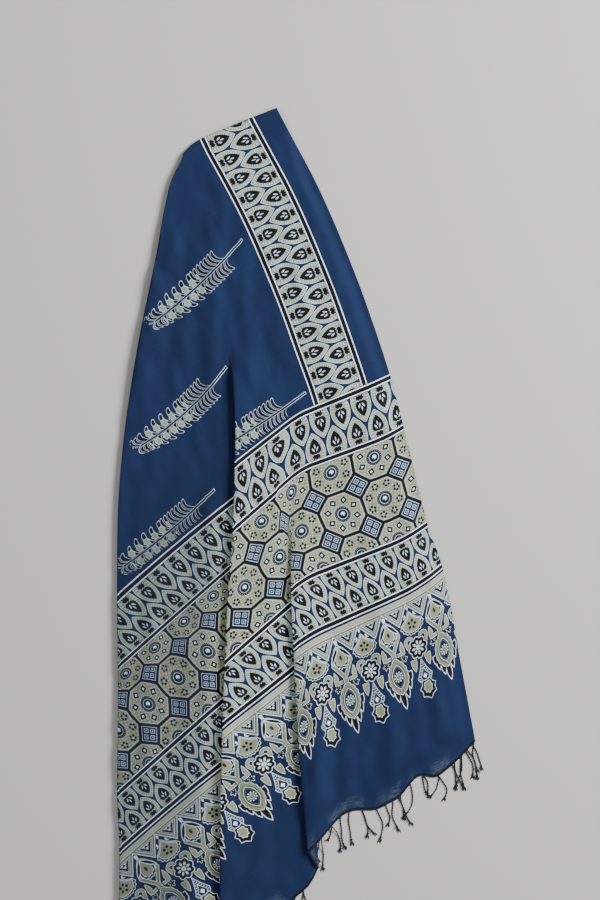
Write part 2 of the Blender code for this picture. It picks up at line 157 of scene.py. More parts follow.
CRUMPLE_STRETCH = 3.7  # how much longer a wave swells along its crest

UNDER_INSET_RIGHT = 18 * MM
TUCK_INSET_RIGHT = 23 * MM
UNDER_INSET_LEFT = 5 * MM
UNDER_HEM_SETBACK = 45 * MM
INSET_GROWS_OVER = 90 * MM
TUCK_SHARE_AT_HEM = 0.16
TUCK_WIDENS_OVER = 230 * MM
TUCK_TURNS_OVER = 20 * MM
DROP_RUN_RIGHT = 14 * MM
DROP_RUN = 30 * MM
DROP_MARGIN = 2 * MM
PLEAT_RUN = 26 * MM
PLEAT_MARGIN = 3 * MM
DEEP_PLEAT = 16 * MM  # a pleat this deep is fully folded
VALLEY_PUFF = 3.5 * MM  # how much softer than pressed each pleat stands at its crest
FOLD_PUFF = 5.0 * MM
PUFF_WIDTH = 24 * MM
FLAT_SPACING = 3 * MM
FLAT_WIDTH = 18 * MM  # of a pleat's own points where it has run out
FOLD_LINE = WEFT_LINES[0].along * MM

OUTLINE_SAMPLES = 60
Outline = namedtuple("Outline", "hem_x hem_y end_x end_y tuck_x tuck_y")

# Grid of the sheet
RIGHT_STEPS = 44
MIDDLE_STEPS = 20
LEFT_STEPS = 42
TUCK_STEPS = 22
FOLD_TURN_STEPS = 4
PLEAT_STEPS = 3
TURN_ROWS = 9
BACK_ROWS = 40
BACK_GROWTH = 1.15  # how the rows of the back half widen away from the fold
ROW_SPACING = 4.2 * MM

# Places on the print, in mm from the hem or, across, from the right selvedge
PRINT_FOOT = 84
LINE_PAIRS = (502, 433, 296, 231)
FIELD_FOOT = 510
BORDER_OUTER = 36.5
BORDER_INNER = 104.0
BORDER_WIDTH = 112
FIRST_ROWS = 15  # the hem's own rows end here
REGIONS = ("plain", "border", "leaves above", "octagons", "leaves below", "end", "feather", "hem")
Band = namedtuple("Band", "region foot top")
BANDS = [
    Band("hem", -1, PRINT_FOOT),
    Band("end", PRINT_FOOT, LINE_PAIRS[3]),
    Band("leaves below", LINE_PAIRS[3], LINE_PAIRS[2]),
    Band("octagons", LINE_PAIRS[2], LINE_PAIRS[1]),
    Band("leaves above", LINE_PAIRS[1], FIELD_FOOT),
]

HEM_ROLL = 2.4
HEM_GREY_FOOT = (1.5, 4.0)  # where the greyish patches start, and where they are full
HEM_GREY_TOP = (19.0, 8.0)

# The leaves of the bands and the side border
LEAF_PITCH = 29.0
BORDER_PITCH = 27.5
UPPER_LEAF_U = 47.5  # where one leaf of each row stands
LOWER_LEAF_U = 33.0
OUTER_LEAF_V = 528.5
INNER_LEAF_V = 514.5
LEAF_START = 4.4  # from a line pair's middle to the foot of its leaves
LEAF_ROOM = 60.2  # from the feet of one row to those of the other
LEAF_HALF = 13.3
LEAF_NARROWING = 1.7  # at each side of a leaf's foot
LEAF_SHOULDER = 10.0
LEAF_TIP = 36.0
TICK_PITCH = 3.8
BLACK_LEAF_Y = 17.6

OCTAGON_PITCH = 58.0
OCTAGON_REACH = 40.6  # from a centre to a slanting side, measured along both axes together
OCTAGON_U = 47.5
OCTAGON_V = 356.0
SPRIG_OUT = 20.6  # from an octagon's centre
LOZENGE_OUT = 18.8

# The printed end: an eye and a flower in turn, under a row of triangles
END_PITCH = 70.5  # from one eye to the next
END_GAIN = 87.0 / 70.5
END_LEAN = 0.13
END_LEAN_FROM = 200.0
END_FIRST = 34.8
END_RAISED = 4.0
STRIP_Y = 216.6
STRIP_LINE_Y = 221.6
TRIANGLE_TOP = 214.2
TRIANGLE_TIP = 187.0
TRIANGLE_SLOPE = 0.765
EYE_Y = 130.6
EYE_LEAF_Y = 180.0
FAN_Y = 186.0
CURL_Y = 164.2
FLOWER_Y = 153.6
PENDANT_Y = 117.5
BELL_Y = 100.5
# The outer flames below an eye. across, foot: where each leaves the eye. reach: down to its tip.
Flame = namedtuple("Flame", "across foot half reach")
FLAMES = [
    Flame(7.0, 112.5, 3.0, 10.2),
    Flame(12.8, 120.5, 2.7, 8.6),
    Flame(16.4, 128.0, 2.2, 7.4),
]

# Feathers of the field, in mm as the cloth lies. bow: how far the shaft swings down aside.
# first_panel, last_panel: the panels that show it, from the right one, 0, to the left one, 2.
Feather = namedtuple("Feather", "stem_x stem_y tip_x tip_y bow first_panel last_panel")
FEATHERS = [
    Feather(-75, 274, -192, 164, 4.5, 1, 2),
    Feather(-95, 109, -211, 3, 8.0, 2, 2),
    Feather(-111, -51, -233, -154, 4.0, 2, 2),
    Feather(7.5, 75, -132, -13, 3.5, 0, 1),
]
FEATHER_LENGTH = 165.0
BARE_STEM = 30.0
SLIM_BARBS_END = 74.0
BARB_PITCH = 6.5
TUFT_SIDE = 7.4
# The room that a feather's own print takes, along its shaft and aside of it
FEATHER_FROM = -5.0
FEATHER_TO = FEATHER_LENGTH + 4.0
FEATHER_ASIDE = 25.5

# Colours in linear light: the dyes and inks of the print, a painted shade for the outer panel, and the yarn
BLUE = (0.0048, 0.0132, 0.0480)
DEEP_BLUE = (0.0026, 0.0074, 0.0270)
SLUB_BLUE = (0.0085, 0.022, 0.072)
# painted shade: the colour that the outer panel is darkened towards
OUTER_PANEL_SHADE_BLUE = (0.0036, 0.0078, 0.0230)
TILE_BLUE = (0.0026, 0.0068, 0.0230)
BARB_BLUE = (0.0050, 0.0100, 0.0280)
BLACK = (0.0026, 0.0029, 0.0052)
DARK_EDGE = (0.0026, 0.0058, 0.0180)
OUTLINE_BLACK = (0.0026, 0.0034, 0.0078)
SPRIG_BLACK = (0.0028, 0.0058, 0.0150)
BARB_BLACK = (0.0020, 0.0034, 0.0085)
HEM_BLACK = (0.0022, 0.0042, 0.0105)
HEART_BLACK = (0.010, 0.013, 0.010)
HEM_GREY = (0.058, 0.078, 0.104)
LINE_GREEN = (0.035, 0.050, 0.052)
GREY_GREEN = (0.085, 0.115, 0.100)
CENTRE_BROWN = (0.07, 0.06, 0.035)
CREAM = (0.186, 0.204, 0.131)
STRIP_CREAM = (0.245, 0.252, 0.150)
LEAF_CREAM = (0.25, 0.285, 0.215)
TUFT_CREAM = (0.20, 0.25, 0.185)
TUFT_PALE = (0.36, 0.43, 0.42)
TICK_PALE = (0.34, 0.40, 0.33)
LEAF_PALE = (0.35, 0.40, 0.35)
HALO_PALE = (0.36, 0.40, 0.32)
ROSETTE_PALE = (0.40, 0.44, 0.36)
SEED_PALE = (0.44, 0.47, 0.37)
BEAD_PALE = (0.46, 0.50, 0.44)
RIM_PALE = (0.46, 0.54, 0.54)
BARB_PALE = (0.40, 0.47, 0.55)
SHAFT_PALE = (0.42, 0.49, 0.58)
TILE_PALE = (0.50, 0.60, 0.72)
EDGE_WHITE = (0.52, 0.60, 0.64)
WHITE = (0.78, 0.87, 0.95)
YARN_DARK = (0.0055, 0.0056, 0.0072)
YARN_LIGHT = (0.018, 0.017, 0.020)
BRUSH_DARK = (0.0050, 0.0095, 0.0170)
BRUSH_LIGHT = (0.014, 0.028, 0.048)
FLOOR_GREY = (0.40, 0.39, 0.38)
SKY_WHITE = (0.95, 0.97, 1.0)

# Inks laid round one shape, in turn. reach: how far past its edge each goes, in mm.
# softness: the width of the ink's own edge.
SOFTNESS = 0.45
Ink = namedtuple("Ink", "colour reach softness", defaults=[SOFTNESS])
LINE_INKS = (Ink(DEEP_BLUE, 4.75), Ink(WHITE, 3.85), Ink(BLACK, 2.6))
LEAF_INKS = (Ink(DARK_EDGE, 0.5), Ink(RIM_PALE, 0), Ink(LEAF_PALE, -0.7), Ink(GREY_GREEN, -1.3))
ROSETTE_INKS = (Ink(LEAF_PALE, 6.9), Ink(DEEP_BLUE, 6.0))
TRIANGLE_INKS = (Ink(DEEP_BLUE, 1.0), Ink(EDGE_WHITE, 0), Ink(CREAM, -0.9))
INNER_TRIANGLE_INKS = (Ink(EDGE_WHITE, -3.7), Ink(DEEP_BLUE, -4.3))
LENS_INKS = (Ink(DARK_EDGE, 0.7), Ink(EDGE_WHITE, 0), Ink(TILE_BLUE, -0.7))
EYE_CENTRE_INKS = (Ink(EDGE_WHITE, 3.4), Ink(CREAM, 2.9))
EYE_LEAF_INKS = (Ink(EDGE_WHITE, 3.0), Ink(DEEP_BLUE, 2.2))
FAN_INKS = (Ink(EDGE_WHITE, -0.5), Ink(CREAM, -1.3))
CUP_INKS = (Ink(EDGE_WHITE, 0), Ink(CREAM, -0.8))
FLOWER_INKS = (Ink(DARK_EDGE, 12.6), Ink(EDGE_WHITE, 11.6), Ink(BLACK, 10.5))
FLOWER_CENTRE_INKS = (Ink(BLACK, 3.8), Ink(EDGE_WHITE, 3.0), Ink(BLACK, 1.0))
BARB_INKS = (Ink(BARB_BLUE, 0.5, 0.5), Ink(BARB_PALE, 0, 0.4), Ink(BARB_BLACK, -0.5, 0.35))
TUFT_INKS = (Ink(TUFT_PALE, 0, 0.5), Ink(TUFT_CREAM, -0.7, 0.8))

# Uneven patches. low, high: the noise where a patch starts and where it is full.
# share: how much of its colour it takes.
Patches = namedtuple("Patches", "scale detail roughness low high share", defaults=[1.0])
BLOTCHES = Patches(9.0, 3.0, 0.55, 0.3, 0.72, 0.42)
SLUBS = Patches(2.2, 2.0, 0.5, 0.56, 0.78, 0.4)
WEAR = Patches(700.0, 2.0, 0.7, 0.56, 0.8, 0.2)
HEM_THREADS = Patches(1.6, 2.0, 0.5, 0.42, 0.66)
HEM_PATCHES = Patches(22.0, 1.0, 0.5, 0.44, 0.56)
MOTTLE = Patches(900.0, 2.0, 0.5, 0.35, 0.7)
WEFT_SLUB = (9.0, 420.0, 1.0)
WARP_SLUB = (420.0, 9.0, 1.0)
HEM_THREAD = (60.0, 700.0, 1.0)
MM_PER_METRE = 1000.0
BLOCK_GRAIN = 260.0  # how fine a printing block's unevenness is, and how far it goes, in mm
BLOCK_WOBBLE = 0.3
HEM_WOBBLE = 1.2
FEATHER_GRAIN = 160.0
FEATHER_WOBBLE = 0.8
THREAD_PITCH = 0.55 * MM
WEAVE_SHARE = 0.5  # of the relief, beside that of the fine creases
CREASE_SHARE = 2.2
CREASE_GRAIN = 55.0
WEAVE_STRENGTH = 0.35
WEAVE_DEPTH = 0.22 * MM
CLOTH_SHINE = {
    "Roughness": 0.82,
    "Specular IOR Level": 0.12,
    "Sheen Weight": 0.05,
    "Sheen Roughness": 0.5,
}
YARN_GRAIN = 2400.0
YARN_STRENGTH = 0.4
YARN_DEPTH = 0.2 * MM
YARN_SHINE = {"Roughness": 0.85, "Specular IOR Level": 0.2}
# Painted shade over the outer panel, which lies in shade beside the large pleat: from this far along a
# slanting line, up to the field
PANEL_SHADE_FROM = 780 * MM
PANEL_SHADE_RUN = 50 * MM
PANEL_SHADE_SHARE = 0.50
PANEL_SHADE_FADE = (560 * MM, 510 * MM)

# The strands that hang from the right panel. root_x: where each leaves the hem.
# tip_x, tip_y: how far its end lies from there. bow: how far its middle swings aside.
Strand = namedtuple("Strand", "root_x tip_x tip_y bow")
SHOWN_STRANDS = [
    Strand(224, 12, -34, 3),
    Strand(226, 6, -39, -3),
    Strand(216, 9, -36, 4),
    Strand(218, 12, -40, 5),
    Strand(209, 5, -43, -2),
    Strand(201, 14, -36, -3),
    Strand(211, -9, -43, 3),
    Strand(198, 4, -34, 3),
    Strand(180, -13, -30, 5),
    Strand(180, 7, -33, 7),
    Strand(160, 9, -29, -3),
    Strand(160, 4, -24, 5),
    Strand(143, -9, -45, 8),
    Strand(131, 15, -39, -3),
    Strand(128, 7, -30, 3),
    Strand(121, 8, -40, -4),
    Strand(111, 3, -28, 4),
    Strand(100, 3, -44, 6),
    Strand(81, 17, -33, -3),
    Strand(80, 7, -37, 4),
    Strand(64, 5, -44, -2),
    Strand(53, 6, -43, -2),
    Strand(41, 10, -35, 6),
    Strand(41, -6, -20, 2),
    Strand(28, 2, -43, 1),
    Strand(26, -2, -30, -2),
]
PAIR_SPACING = 13 * MM
PAIRS_FOR_SPACING = 1.35  # the two other panels slant, so a mm across takes more of them
PANEL_MARGIN = 6 * MM
FOLD_MARGIN = 10 * MM
SIDE_MARGIN = 5 * MM
FRINGE_PARTED = 0.3 * MM
ROOT_RADIUS = 0.75 * MM
PLY_RADIUS = 0.52 * MM
PLY_TURN = 6.5 * MM
PLY_SIDES = 5
STRAND_RINGS = 44
STRAND_PHASE = 1.7  # radians from one strand's twist to the next one's
STRAND_FALL = 0.45  # the share of a strand in which it comes down to the floor
KNOT_LENGTH = 0.028
KNOT_LIFT = 0.8 * MM
BRUSH_FIBRES = 5
BRUSH_START = 0.84
BRUSH_WIDTH = 5.2 * MM
FIBRE_RADIUS = 0.62 * MM
FIBRE_FLOOR = 0.55 * MM

# The map that the looks are baked on, from 0 to 1
BAKE_SPLIT = 0.58
BAKE_GAP = 0.012
BAKE_MARGIN = 0.006
BAKE_HIDDEN = 0.22  # how much room a hidden part gets, against one that shows

CAMERA_HEIGHT = 6.0
CAMERA_ABOVE = 8 * MM  # the height of the cloth's face
SENSOR_HEIGHT = 24
FLOOR_SIZE = 8
Lamp = namedtuple("Lamp", "name place size energy")
LAMPS = [
    Lamp("key", (2.2, 1.5, 1.9), 1.5, 268),
    Lamp("fill", (-1.4, -1.0, 2.8), 2.4, 34),
]
SKY_STRENGTH = 0.42


def smooth(t):
    t = np.clip(t, 0.0, 1.0)
    return t * t * (3 - 2 * t)


def table_at(table, along):
    """A table's row at this distance from the hem, in metres and radians, by a smooth curve."""
    rows = table[::-1]
    fields = rows[0]._fields
    knots = np.array([row.along for row in rows], float) * MM
    i = int(np.clip(np.searchsorted(knots, along) - 1, 0, len(rows) - 2))
    span = knots[i + 1] - knots[i]
    t = (along - knots[i]) / span
    values = []
    for name in fields:
        scale = math.pi / 180 if name.startswith("slope") else 1 if name.endswith("gain") else MM
        column = np.array([getattr(row, name) for row in rows], float) * scale
        rates = np.gradient(column, knots)
        if t < 0:
            values.append(column[0] + rates[0] * (along - knots[0]))
            continue
        start, end = column[i], column[i + 1]
        values.append(
            start * (1 + 2 * t) * (1 - t) ** 2
            + rates[i] * span * t * (1 - t) ** 2
            + end * t * t * (3 - 2 * t)
            + rates[i + 1] * span * t * t * (t - 1)
        )
    return type(rows[0])(*values)


def right_y(line, x):
    """Height of the weft line in the right panel, from the selvedge to the small pleat."""
    width = line.edge_x - line.valley_x
    t = np.clip((line.edge_x - x) / width, 0, 1)
    angles = (line.slope_edge, line.slope_middle, line.slope_middle, line.slope_fold)
    tangents = [math.tan(angle) for angle in angles]
    fallen = 0.0
    for k in range(3):
        width_share = RIGHT_BENDS[k + 1] - RIGHT_BENDS[k]
        reach = np.clip(t - RIGHT_BENDS[k], 0, width_share)
        change = (tangents[k + 1] - tangents[k]) / width_share
        fallen = fallen + tangents[k] * reach + change * reach * reach / 2
    return line.edge_y - fallen * width


def middle_y(line, x):
    """Height in the panel between the pleats, and in its part that is folded beneath."""
    crest = right_y(line, line.valley_x) - line.valley_drop
    beneath = np.maximum(x - line.valley_x, 0)
    shown = np.maximum(line.valley_x - x, 0)
    rise = line.valley_drop / 2 / max(line.valley_depth, FLAT_SPACING)
    return crest + beneath * rise - shown * math.tan(line.slope_fold)


def left_y(line, x):
    """Height in the left panel, and in its part under the large pleat."""
    crest = middle_y(line, line.fold_x) - line.fold_drop
    beneath = np.maximum(x - line.fold_x, 0)
    shown = np.maximum(line.fold_x - x, 0)
    rise = line.fold_drop / 2 / max(line.fold_depth, FLAT_SPACING)
    width = line.fold_x - line.side_x
    start = math.tan(line.slope_fold)
    end = math.tan(line.slope_side)
    fallen = start * shown + (end - start) * shown * shown / 2 / width
    return crest + beneath * rise - fallen


def under_y(line, x):
    """Height of a weft line of the layers beneath: the shown one with its steps drawn straight."""
    right = right_y(line, x)
    crest = right_y(line, line.valley_x)
    fold = middle_y(line, line.fold_x)
    side = left_y(line, line.side_x)
    middle = crest + (fold - crest) * (line.valley_x - x) / (line.valley_x - line.fold_x)
    left = fold + (side - fold) * (line.fold_x - x) / (line.fold_x - line.side_x)
    return np.where(x > line.valley_x, right, np.where(x > line.fold_x, middle, left))


def inset_growth(along):
    """0 at the crosswise fold, 1 well below it."""
    return float(smooth((FOLD_LINE - along) / INSET_GROWS_OVER))


def under_ends(line):
    growth = inset_growth(line.along)
    right = line.edge_x - UNDER_INSET_RIGHT * growth
    left = line.side_x + UNDER_INSET_LEFT * growth
    return right, left


def tuck_end(line):
    """Where the part turned under at the left side ends, to the right."""
    widest = line.edge_x - TUCK_INSET_RIGHT * inset_growth(line.along)
    share = TUCK_SHARE_AT_HEM + (1 - TUCK_SHARE_AT_HEM) * smooth(line.along / TUCK_WIDENS_OVER)
    return line.side_x + (widest - line.side_x) * share


def right_ends(lines, end):
    """The right ends of a layer beneath, on each of these weft lines: x and y."""
    ends = [end(line) for line in lines]
    return np.array(ends), np.array([float(under_y(line, x)) for line, x in zip(lines, ends)])


def under_outline():
    """Where the layers beneath end, as seen from above: the hem, and two right ends."""
    hem = table_at(WEFT_LINES, UNDER_HEM_SETBACK)
    hem_x = np.linspace(hem.side_x, hem.edge_x, OUTLINE_SAMPLES)
    lines = [table_at(WEFT_LINES, along) for along in np.linspace(0, FOLD_LINE, OUTLINE_SAMPLES)]
    back = right_ends(lines, lambda line: under_ends(line)[0])
    return Outline(hem_x, under_y(hem, hem_x), *back, *right_ends(lines, tuck_end))


def back_cover(outline, x, y):
    """1 where the back half lies beneath, 0 where it doesn't, with soft runs between."""
    hem_y = np.interp(x, outline.hem_x, outline.hem_y)
    end_x = np.interp(y, outline.end_y, outline.end_x)
    over_right = 1 - smooth((x - end_x - DROP_MARGIN) / DROP_RUN_RIGHT)
    above_hem = smooth((y - hem_y + DROP_MARGIN + DROP_RUN) / DROP_RUN)
    return over_right * above_hem


def tuck_cover(outline, x, y):
    """1 where the part turned under at the left side lies beneath."""
    end_x = np.interp(y, outline.tuck_y, outline.tuck_x)
    return 1 - smooth((x - end_x - DROP_MARGIN) / DROP_RUN_RIGHT)


def pleat_lift(x, crest_x, depth):
    """How far a pleat lifts what is over it, in layers, at this place across."""
    folded = smooth(depth / DEEP_PLEAT)
    return 2 * folded * (1 - smooth((x - crest_x - max(depth, 0) - PLEAT_MARGIN) / PLEAT_RUN))


def puff(x, crest_x, depth, height):
    """How far a soft pleat stands up at its crest, fading to both sides."""
    return height * smooth(depth / DEEP_PLEAT) * np.exp(-(((x - crest_x) / PUFF_WIDTH) ** 2))


def ridge_height(ridges, x, y):
    height = 0.0
    for ridge in ridges:
        top = np.array([ridge.top_x, ridge.top_y]) * MM
        foot = np.array([ridge.foot_x, ridge.foot_y]) * MM
        way = foot - top
        reach = np.linalg.norm(way)
        way /= reach
        run = (x - top[0]) * way[0] + (y - top[1]) * way[1]
        aside = (x - top[0]) * way[1] - (y - top[1]) * way[0]
        ends = smooth(run / (RIDGE_TOP_FADE * reach))
        ends = ends * smooth((reach - run) / (RIDGE_FOOT_FADE * reach))
        height = height + ridge.lift * MM * ends * np.exp(-((aside / (ridge.width * MM)) ** 2))
    return height


def crumpled(x, y):
    """The cloth's small unevenness, as a few crossing waves."""
    height = 0.0
    for crumple in CRUMPLES:
        turn = math.radians(crumple.heading)
        run = x * math.cos(turn) + y * math.sin(turn)
        aside = y * math.cos(turn) - x * math.sin(turn)
        turns = 2 * math.pi / (crumple.pitch * MM)
        swell = 0.5 + 0.5 * np.sin(aside * turns / CRUMPLE_STRETCH + crumple.pitch)
        height = height + crumple.lift * MM * swell * np.sin(run * turns + 3 * swell)
    return height


def hem_ripple(line, x):
    """How far the ripples pull a weft line up, near the hem."""
    raised = 0.0
    for ripple in HEM_RIPPLES:
        t = np.abs(x - ripple.middle_x * MM) / (ripple.half_width * MM)
        fade = 1 - smooth(line.along / (ripple.reach * MM))
        raised = raised + ripple.lift * MM * (1 - smooth(t)) * fade
    return raised


def spread(start, end, steps):
    """Places strictly between two ends."""
    return start + (end - start) * np.arange(1, steps) / steps


def summed(lengths):
    """Where each of these lengths starts when they lie end to end, and where the last one ends."""
    return np.concatenate([[0], np.cumsum(lengths)])


def half_turn(steps):
    return np.pi * np.arange(steps + 1) / steps


def pleat_stations(crest_x, depth, y_flat, y_folded):
    """A pleat's own points, from its crest back beneath to its inner crease: x, y and layer.

    Where the pleat is shut they turn round two folds, and where it runs out they lie flat.
    """
    folded = float(smooth(depth / DEEP_PLEAT))
    radius = LAYER_STEP / 2
    inner_x = crest_x + max(depth, 0)
    turn = half_turn(FOLD_TURN_STEPS)
    between = np.arange(1, PLEAT_STEPS) / PLEAT_STEPS
    start_x, end_x = crest_x + radius, inner_x - radius
    x_shut = np.concatenate(
        [
            start_x - radius * np.sin(turn),
            start_x + (end_x - start_x) * between,
            end_x + radius * np.sin(turn),
        ]
    )
    layer = np.concatenate([1.5 + np.cos(turn) / 2, 1 + 0 * between, 0.5 + np.cos(turn) / 2])
    fallen = np.concatenate([0 * turn, between / 2, 0.5 + 0 * turn])
    x_flat = crest_x + FLAT_SPACING - FLAT_WIDTH * np.linspace(0, 1, len(x_shut))
    x = x_flat + (x_shut - x_flat) * folded
    y = y_flat(x_flat) + (y_folded(fallen) - y_flat(x_flat)) * folded
    return x, y, layer * folded


def shown_stations(line):
    """The shown face across one weft line, from the selvedge to the left side.

    Returns x, y and layer, the numbers of the stations where each stretch starts, and how far
    each station stands above its layer.
    """

    def valley_fold(fallen):
        return right_y(line, line.valley_x) - line.valley_drop * fallen

    def large_fold(fallen):
        return middle_y(line, line.fold_x) - line.fold_drop * fallen

    def flat_right(x):
        crest = right_y(line, line.valley_x)
        past = np.maximum(line.valley_x - x, 0) * math.tan(line.slope_fold)
        return np.where(x >= line.valley_x, right_y(line, x), crest - past)

    def flat_middle(x):
        past = np.maximum(line.fold_x - x, 0)
        bend = math.tan(line.slope_side) - math.tan(line.slope_fold)
        return middle_y(line, x) - bend * past * past / 2 / (line.fold_x - line.side_x)

    valley = pleat_stations(line.valley_x, line.valley_depth, flat_right, valley_fold)
    fold = pleat_stations(line.fold_x, line.fold_depth, flat_middle, large_fold)
    right_x = np.concatenate([[line.edge_x], spread(line.edge_x, valley[0][0], RIGHT_STEPS)])
    middle_x = spread(valley[0][-1], fold[0][0], MIDDLE_STEPS)
    left_x = np.concatenate([spread(fold[0][-1], line.side_x, LEFT_STEPS), [line.side_x]])
    stretches = [
        (right_x, right_y(line, right_x), 0 * right_x),
        valley,
        (middle_x, middle_y(line, middle_x), 0 * middle_x),
        fold,
        (left_x, left_y(line, left_x), 0 * left_x),
    ]
    starts = summed([len(stretch[0]) for stretch in stretches])
    x, y, layer = (np.concatenate([stretch[k] for stretch in stretches]) for k in range(3))
    number = np.arange(len(x))
    own = layer
    layer = layer + np.where(number < starts[1], pleat_lift(x, line.valley_x, line.valley_depth), 0)
    layer = layer + np.where(number < starts[3], pleat_lift(x, line.fold_x, line.fold_depth), 0)
    over_valley = np.where(number < starts[1], 1, np.where(number < starts[2], own / 2, 0))
    over_fold = np.where(number < starts[3], 1, np.where(number < starts[4], own / 2, 0))
    stands = over_valley * puff(x, line.valley_x, line.valley_depth, VALLEY_PUFF)
    stands = stands + over_fold * puff(x, line.fold_x, line.fold_depth, FOLD_PUFF)
    return x, y + hem_ripple(line, x), layer, starts, stands


def run_along(x, y):
    return summed(np.hypot(np.diff(x), np.diff(y)))


def run_from(x, y, crest_x):
    """Length along a panel from its crest, below 0 in the part that is folded beneath."""
    slant = math.hypot(x[1] - x[0], y[1] - y[0]) / abs(x[1] - x[0])
    return run_along(x, y) + (crest_x - x[0]) * slant


def print_across(line, prints, x, y, starts):
    """Printed distance from the selvedge of each station of the shown face."""
    right = slice(starts[0], starts[1] + 1)
    middle = slice(starts[2] - 1, starts[3] + 1)
    left = slice(starts[4] - 1, starts[5])
    u = np.zeros(len(x))
    u[right] = run_along(x[right], y[right]) * prints.right_gain
    u[middle] = prints.middle_start + run_from(x[middle], y[middle], line.valley_x) * prints.middle_gain
    u[left] = prints.left_start + run_from(x[left], y[left], line.fold_x) * prints.left_gain
    for start, end in ((starts[1], starts[2] - 1), (starts[3], starts[4] - 1)):
        hidden = slice(start, end + 1)
        run = run_along(x[hidden], y[hidden])
        u[hidden] = u[start] + (u[end] - u[start]) * run / run[-1]
    return u


def front_row(along, outline):
    """Middle surface of the front half on one weft line: its points, and their printed place."""
    line = table_at(WEFT_LINES, along)
    prints = table_at(PRINT_LINES, along)
    ground = SOLID_THICKNESS / 2 + FLOOR_GAP
    fade = inset_growth(along)
    x, y, layer, starts, stands = shown_stations(line)
    u = print_across(line, prints, x, y, starts)
    beneath = tuck_cover(outline, x, y) + 2 * back_cover(outline, x, y)
    relief = ridge_height(RIDGES, x, y) * fade
    creased = ridge_height(CREASES, x, y) * fade
    z = ground + LAYER_STEP * (beneath + layer) + relief + creased + stands + crumpled(x, y) * fade
    z = np.maximum(z, ground)
    side_x, side_y, side_z = line.side_x, y[-1], max(z[-1], ground + LAYER_STEP)
    turn = half_turn(FOLD_TURN_STEPS)
    radius = LAYER_STEP / 2
    x[-1] = side_x + radius
    end = tuck_end(line)
    tuck_x = np.concatenate([spread(side_x + radius, end, TUCK_STEPS), [end]])
    eased = smooth((tuck_x - side_x) / TUCK_TURNS_OVER)
    tuck_y = side_y + (under_y(line, tuck_x) - side_y) * eased
    low = ground + LAYER_STEP * 2 * back_cover(outline, tuck_x, tuck_y)
    lean = 1 - eased
    tuck_z = low + float(ridge_height(RIDGES, side_x, side_y)) * fade * lean
    turn_x = side_x + radius - radius * np.sin(turn[1:])
    turn_z = side_z - radius + radius * np.cos(turn[1:])
    all_x = np.concatenate([x, turn_x, tuck_x])
    all_y = np.concatenate([y, side_y + 0 * turn_x, tuck_y])
    all_z = np.concatenate([z, turn_z, tuck_z])
    rest = slice(len(x) - 1, None)
    rest_u = u[-1] + run_along(all_x[rest], all_y[rest])[1:]
    all_u = np.concatenate([u, rest_u])
    lowered = np.clip((np.arange(len(all_u)) - starts[3]) / (starts[4] - 1 - starts[3]), 0, 1)
    return np.stack([all_x, all_y, all_z], 1), np.stack([all_u, along - prints.left_lower * lowered], 1)


def outward(row):
    """Directions across the crosswise fold, away from the hem, at each of its points."""
    shown = row[row[:, 2] > row[0, 2] - LAYER_STEP / 4]
    nearest = np.abs(shown[None, :, 0] - row[:, None, 0]).argmin(1)
    nearest = np.clip(nearest, 1, len(shown) - 2)
    before, after = shown[nearest - 1], shown[nearest + 1]
    direction = np.stack([before[:, 1] - after[:, 1], after[:, 0] - before[:, 0]], 1)
    direction *= np.where(direction[:, 1] > 0, 1, -1)[:, None]
    return direction / np.linalg.norm(direction, axis=1)[:, None]


def turned_row(row, angle):
    """The fold line's row turned about the middle of its four layers, flatter at its left end."""
    middle_z = SOLID_THICKNESS / 2 + FLOOR_GAP + 1.5 * LAYER_STEP
    offset = row[:, 2] - middle_z
    near_end = 1 - smooth((row[:, 0] - row[:, 0].min()) / CORNER_RUN)
    reach = offset * math.sin(angle) * (1 - CORNER_SQUEEZE * near_end)
    out = outward(row) * reach[:, None]
    return np.stack([row[:, 0] + out[:, 0], row[:, 1] + out[:, 1], middle_z + offset * math.cos(angle)], 1)


def back_row(along, fold_row):
    """The back half on one weft line: flat beneath, under its own turned-under part."""
    line = table_at(WEFT_LINES, along)
    top = table_at(WEFT_LINES, FOLD_LINE)
    right, left = under_ends(line)
    growth = inset_growth(along)
    low = SOLID_THICKNESS / 2 + FLOOR_GAP * (1 - growth)
    share = (fold_row[:, 0] - top.side_x) / (top.edge_x - top.side_x)
    layer = (fold_row[0, 2] - fold_row[:, 2]) / LAYER_STEP
    inward = np.where(layer < 0.75, 0, TUCK_INSET_RIGHT - UNDER_INSET_RIGHT)
    x = left + (right - left) * share - inward * growth * share
    return np.stack([x, under_y(line, x), low + LAYER_STEP * layer], 1)


def sheet_grid():
    """All rows of the cloth, from the shown hem round to the hidden one, with their printed place."""
    outline = under_outline()
    stops = [0, FIRST_ROWS, PRINT_FOOT, *LINE_PAIRS[::-1], FIELD_FOOT, WEFT_LINES[0].along]
    alongs = [0.0]
    for low, high in zip(stops, stops[1:]):
        steps = max(round((high - low) * MM / ROW_SPACING), 1)
        alongs += list(np.linspace(low, high, steps + 1)[1:] * MM)
    rows, places = zip(*[front_row(along, outline) for along in alongs])
    rows, places = list(rows), list(places)
    fold_row = rows[-1]
    fold_across = places[-1][:, 0]
    for k in range(1, TURN_ROWS + 1):
        rows.append(turned_row(fold_row, math.pi * k / TURN_ROWS))
        along = FOLD_LINE + min(k, TURN_ROWS - k) * 3 * LAYER_STEP / TURN_ROWS
        places.append(np.stack([fold_across, np.full(len(fold_across), along)], 1))
    for k in range(1, BACK_ROWS + 1):
        share = (k / BACK_ROWS) ** BACK_GROWTH
        along = FOLD_LINE + (UNDER_HEM_SETBACK - FOLD_LINE) * share
        rows.append(back_row(along, fold_row))
        places.append(np.stack([fold_across, np.full(len(fold_across), along)], 1))
    return np.array(rows), np.array(places)


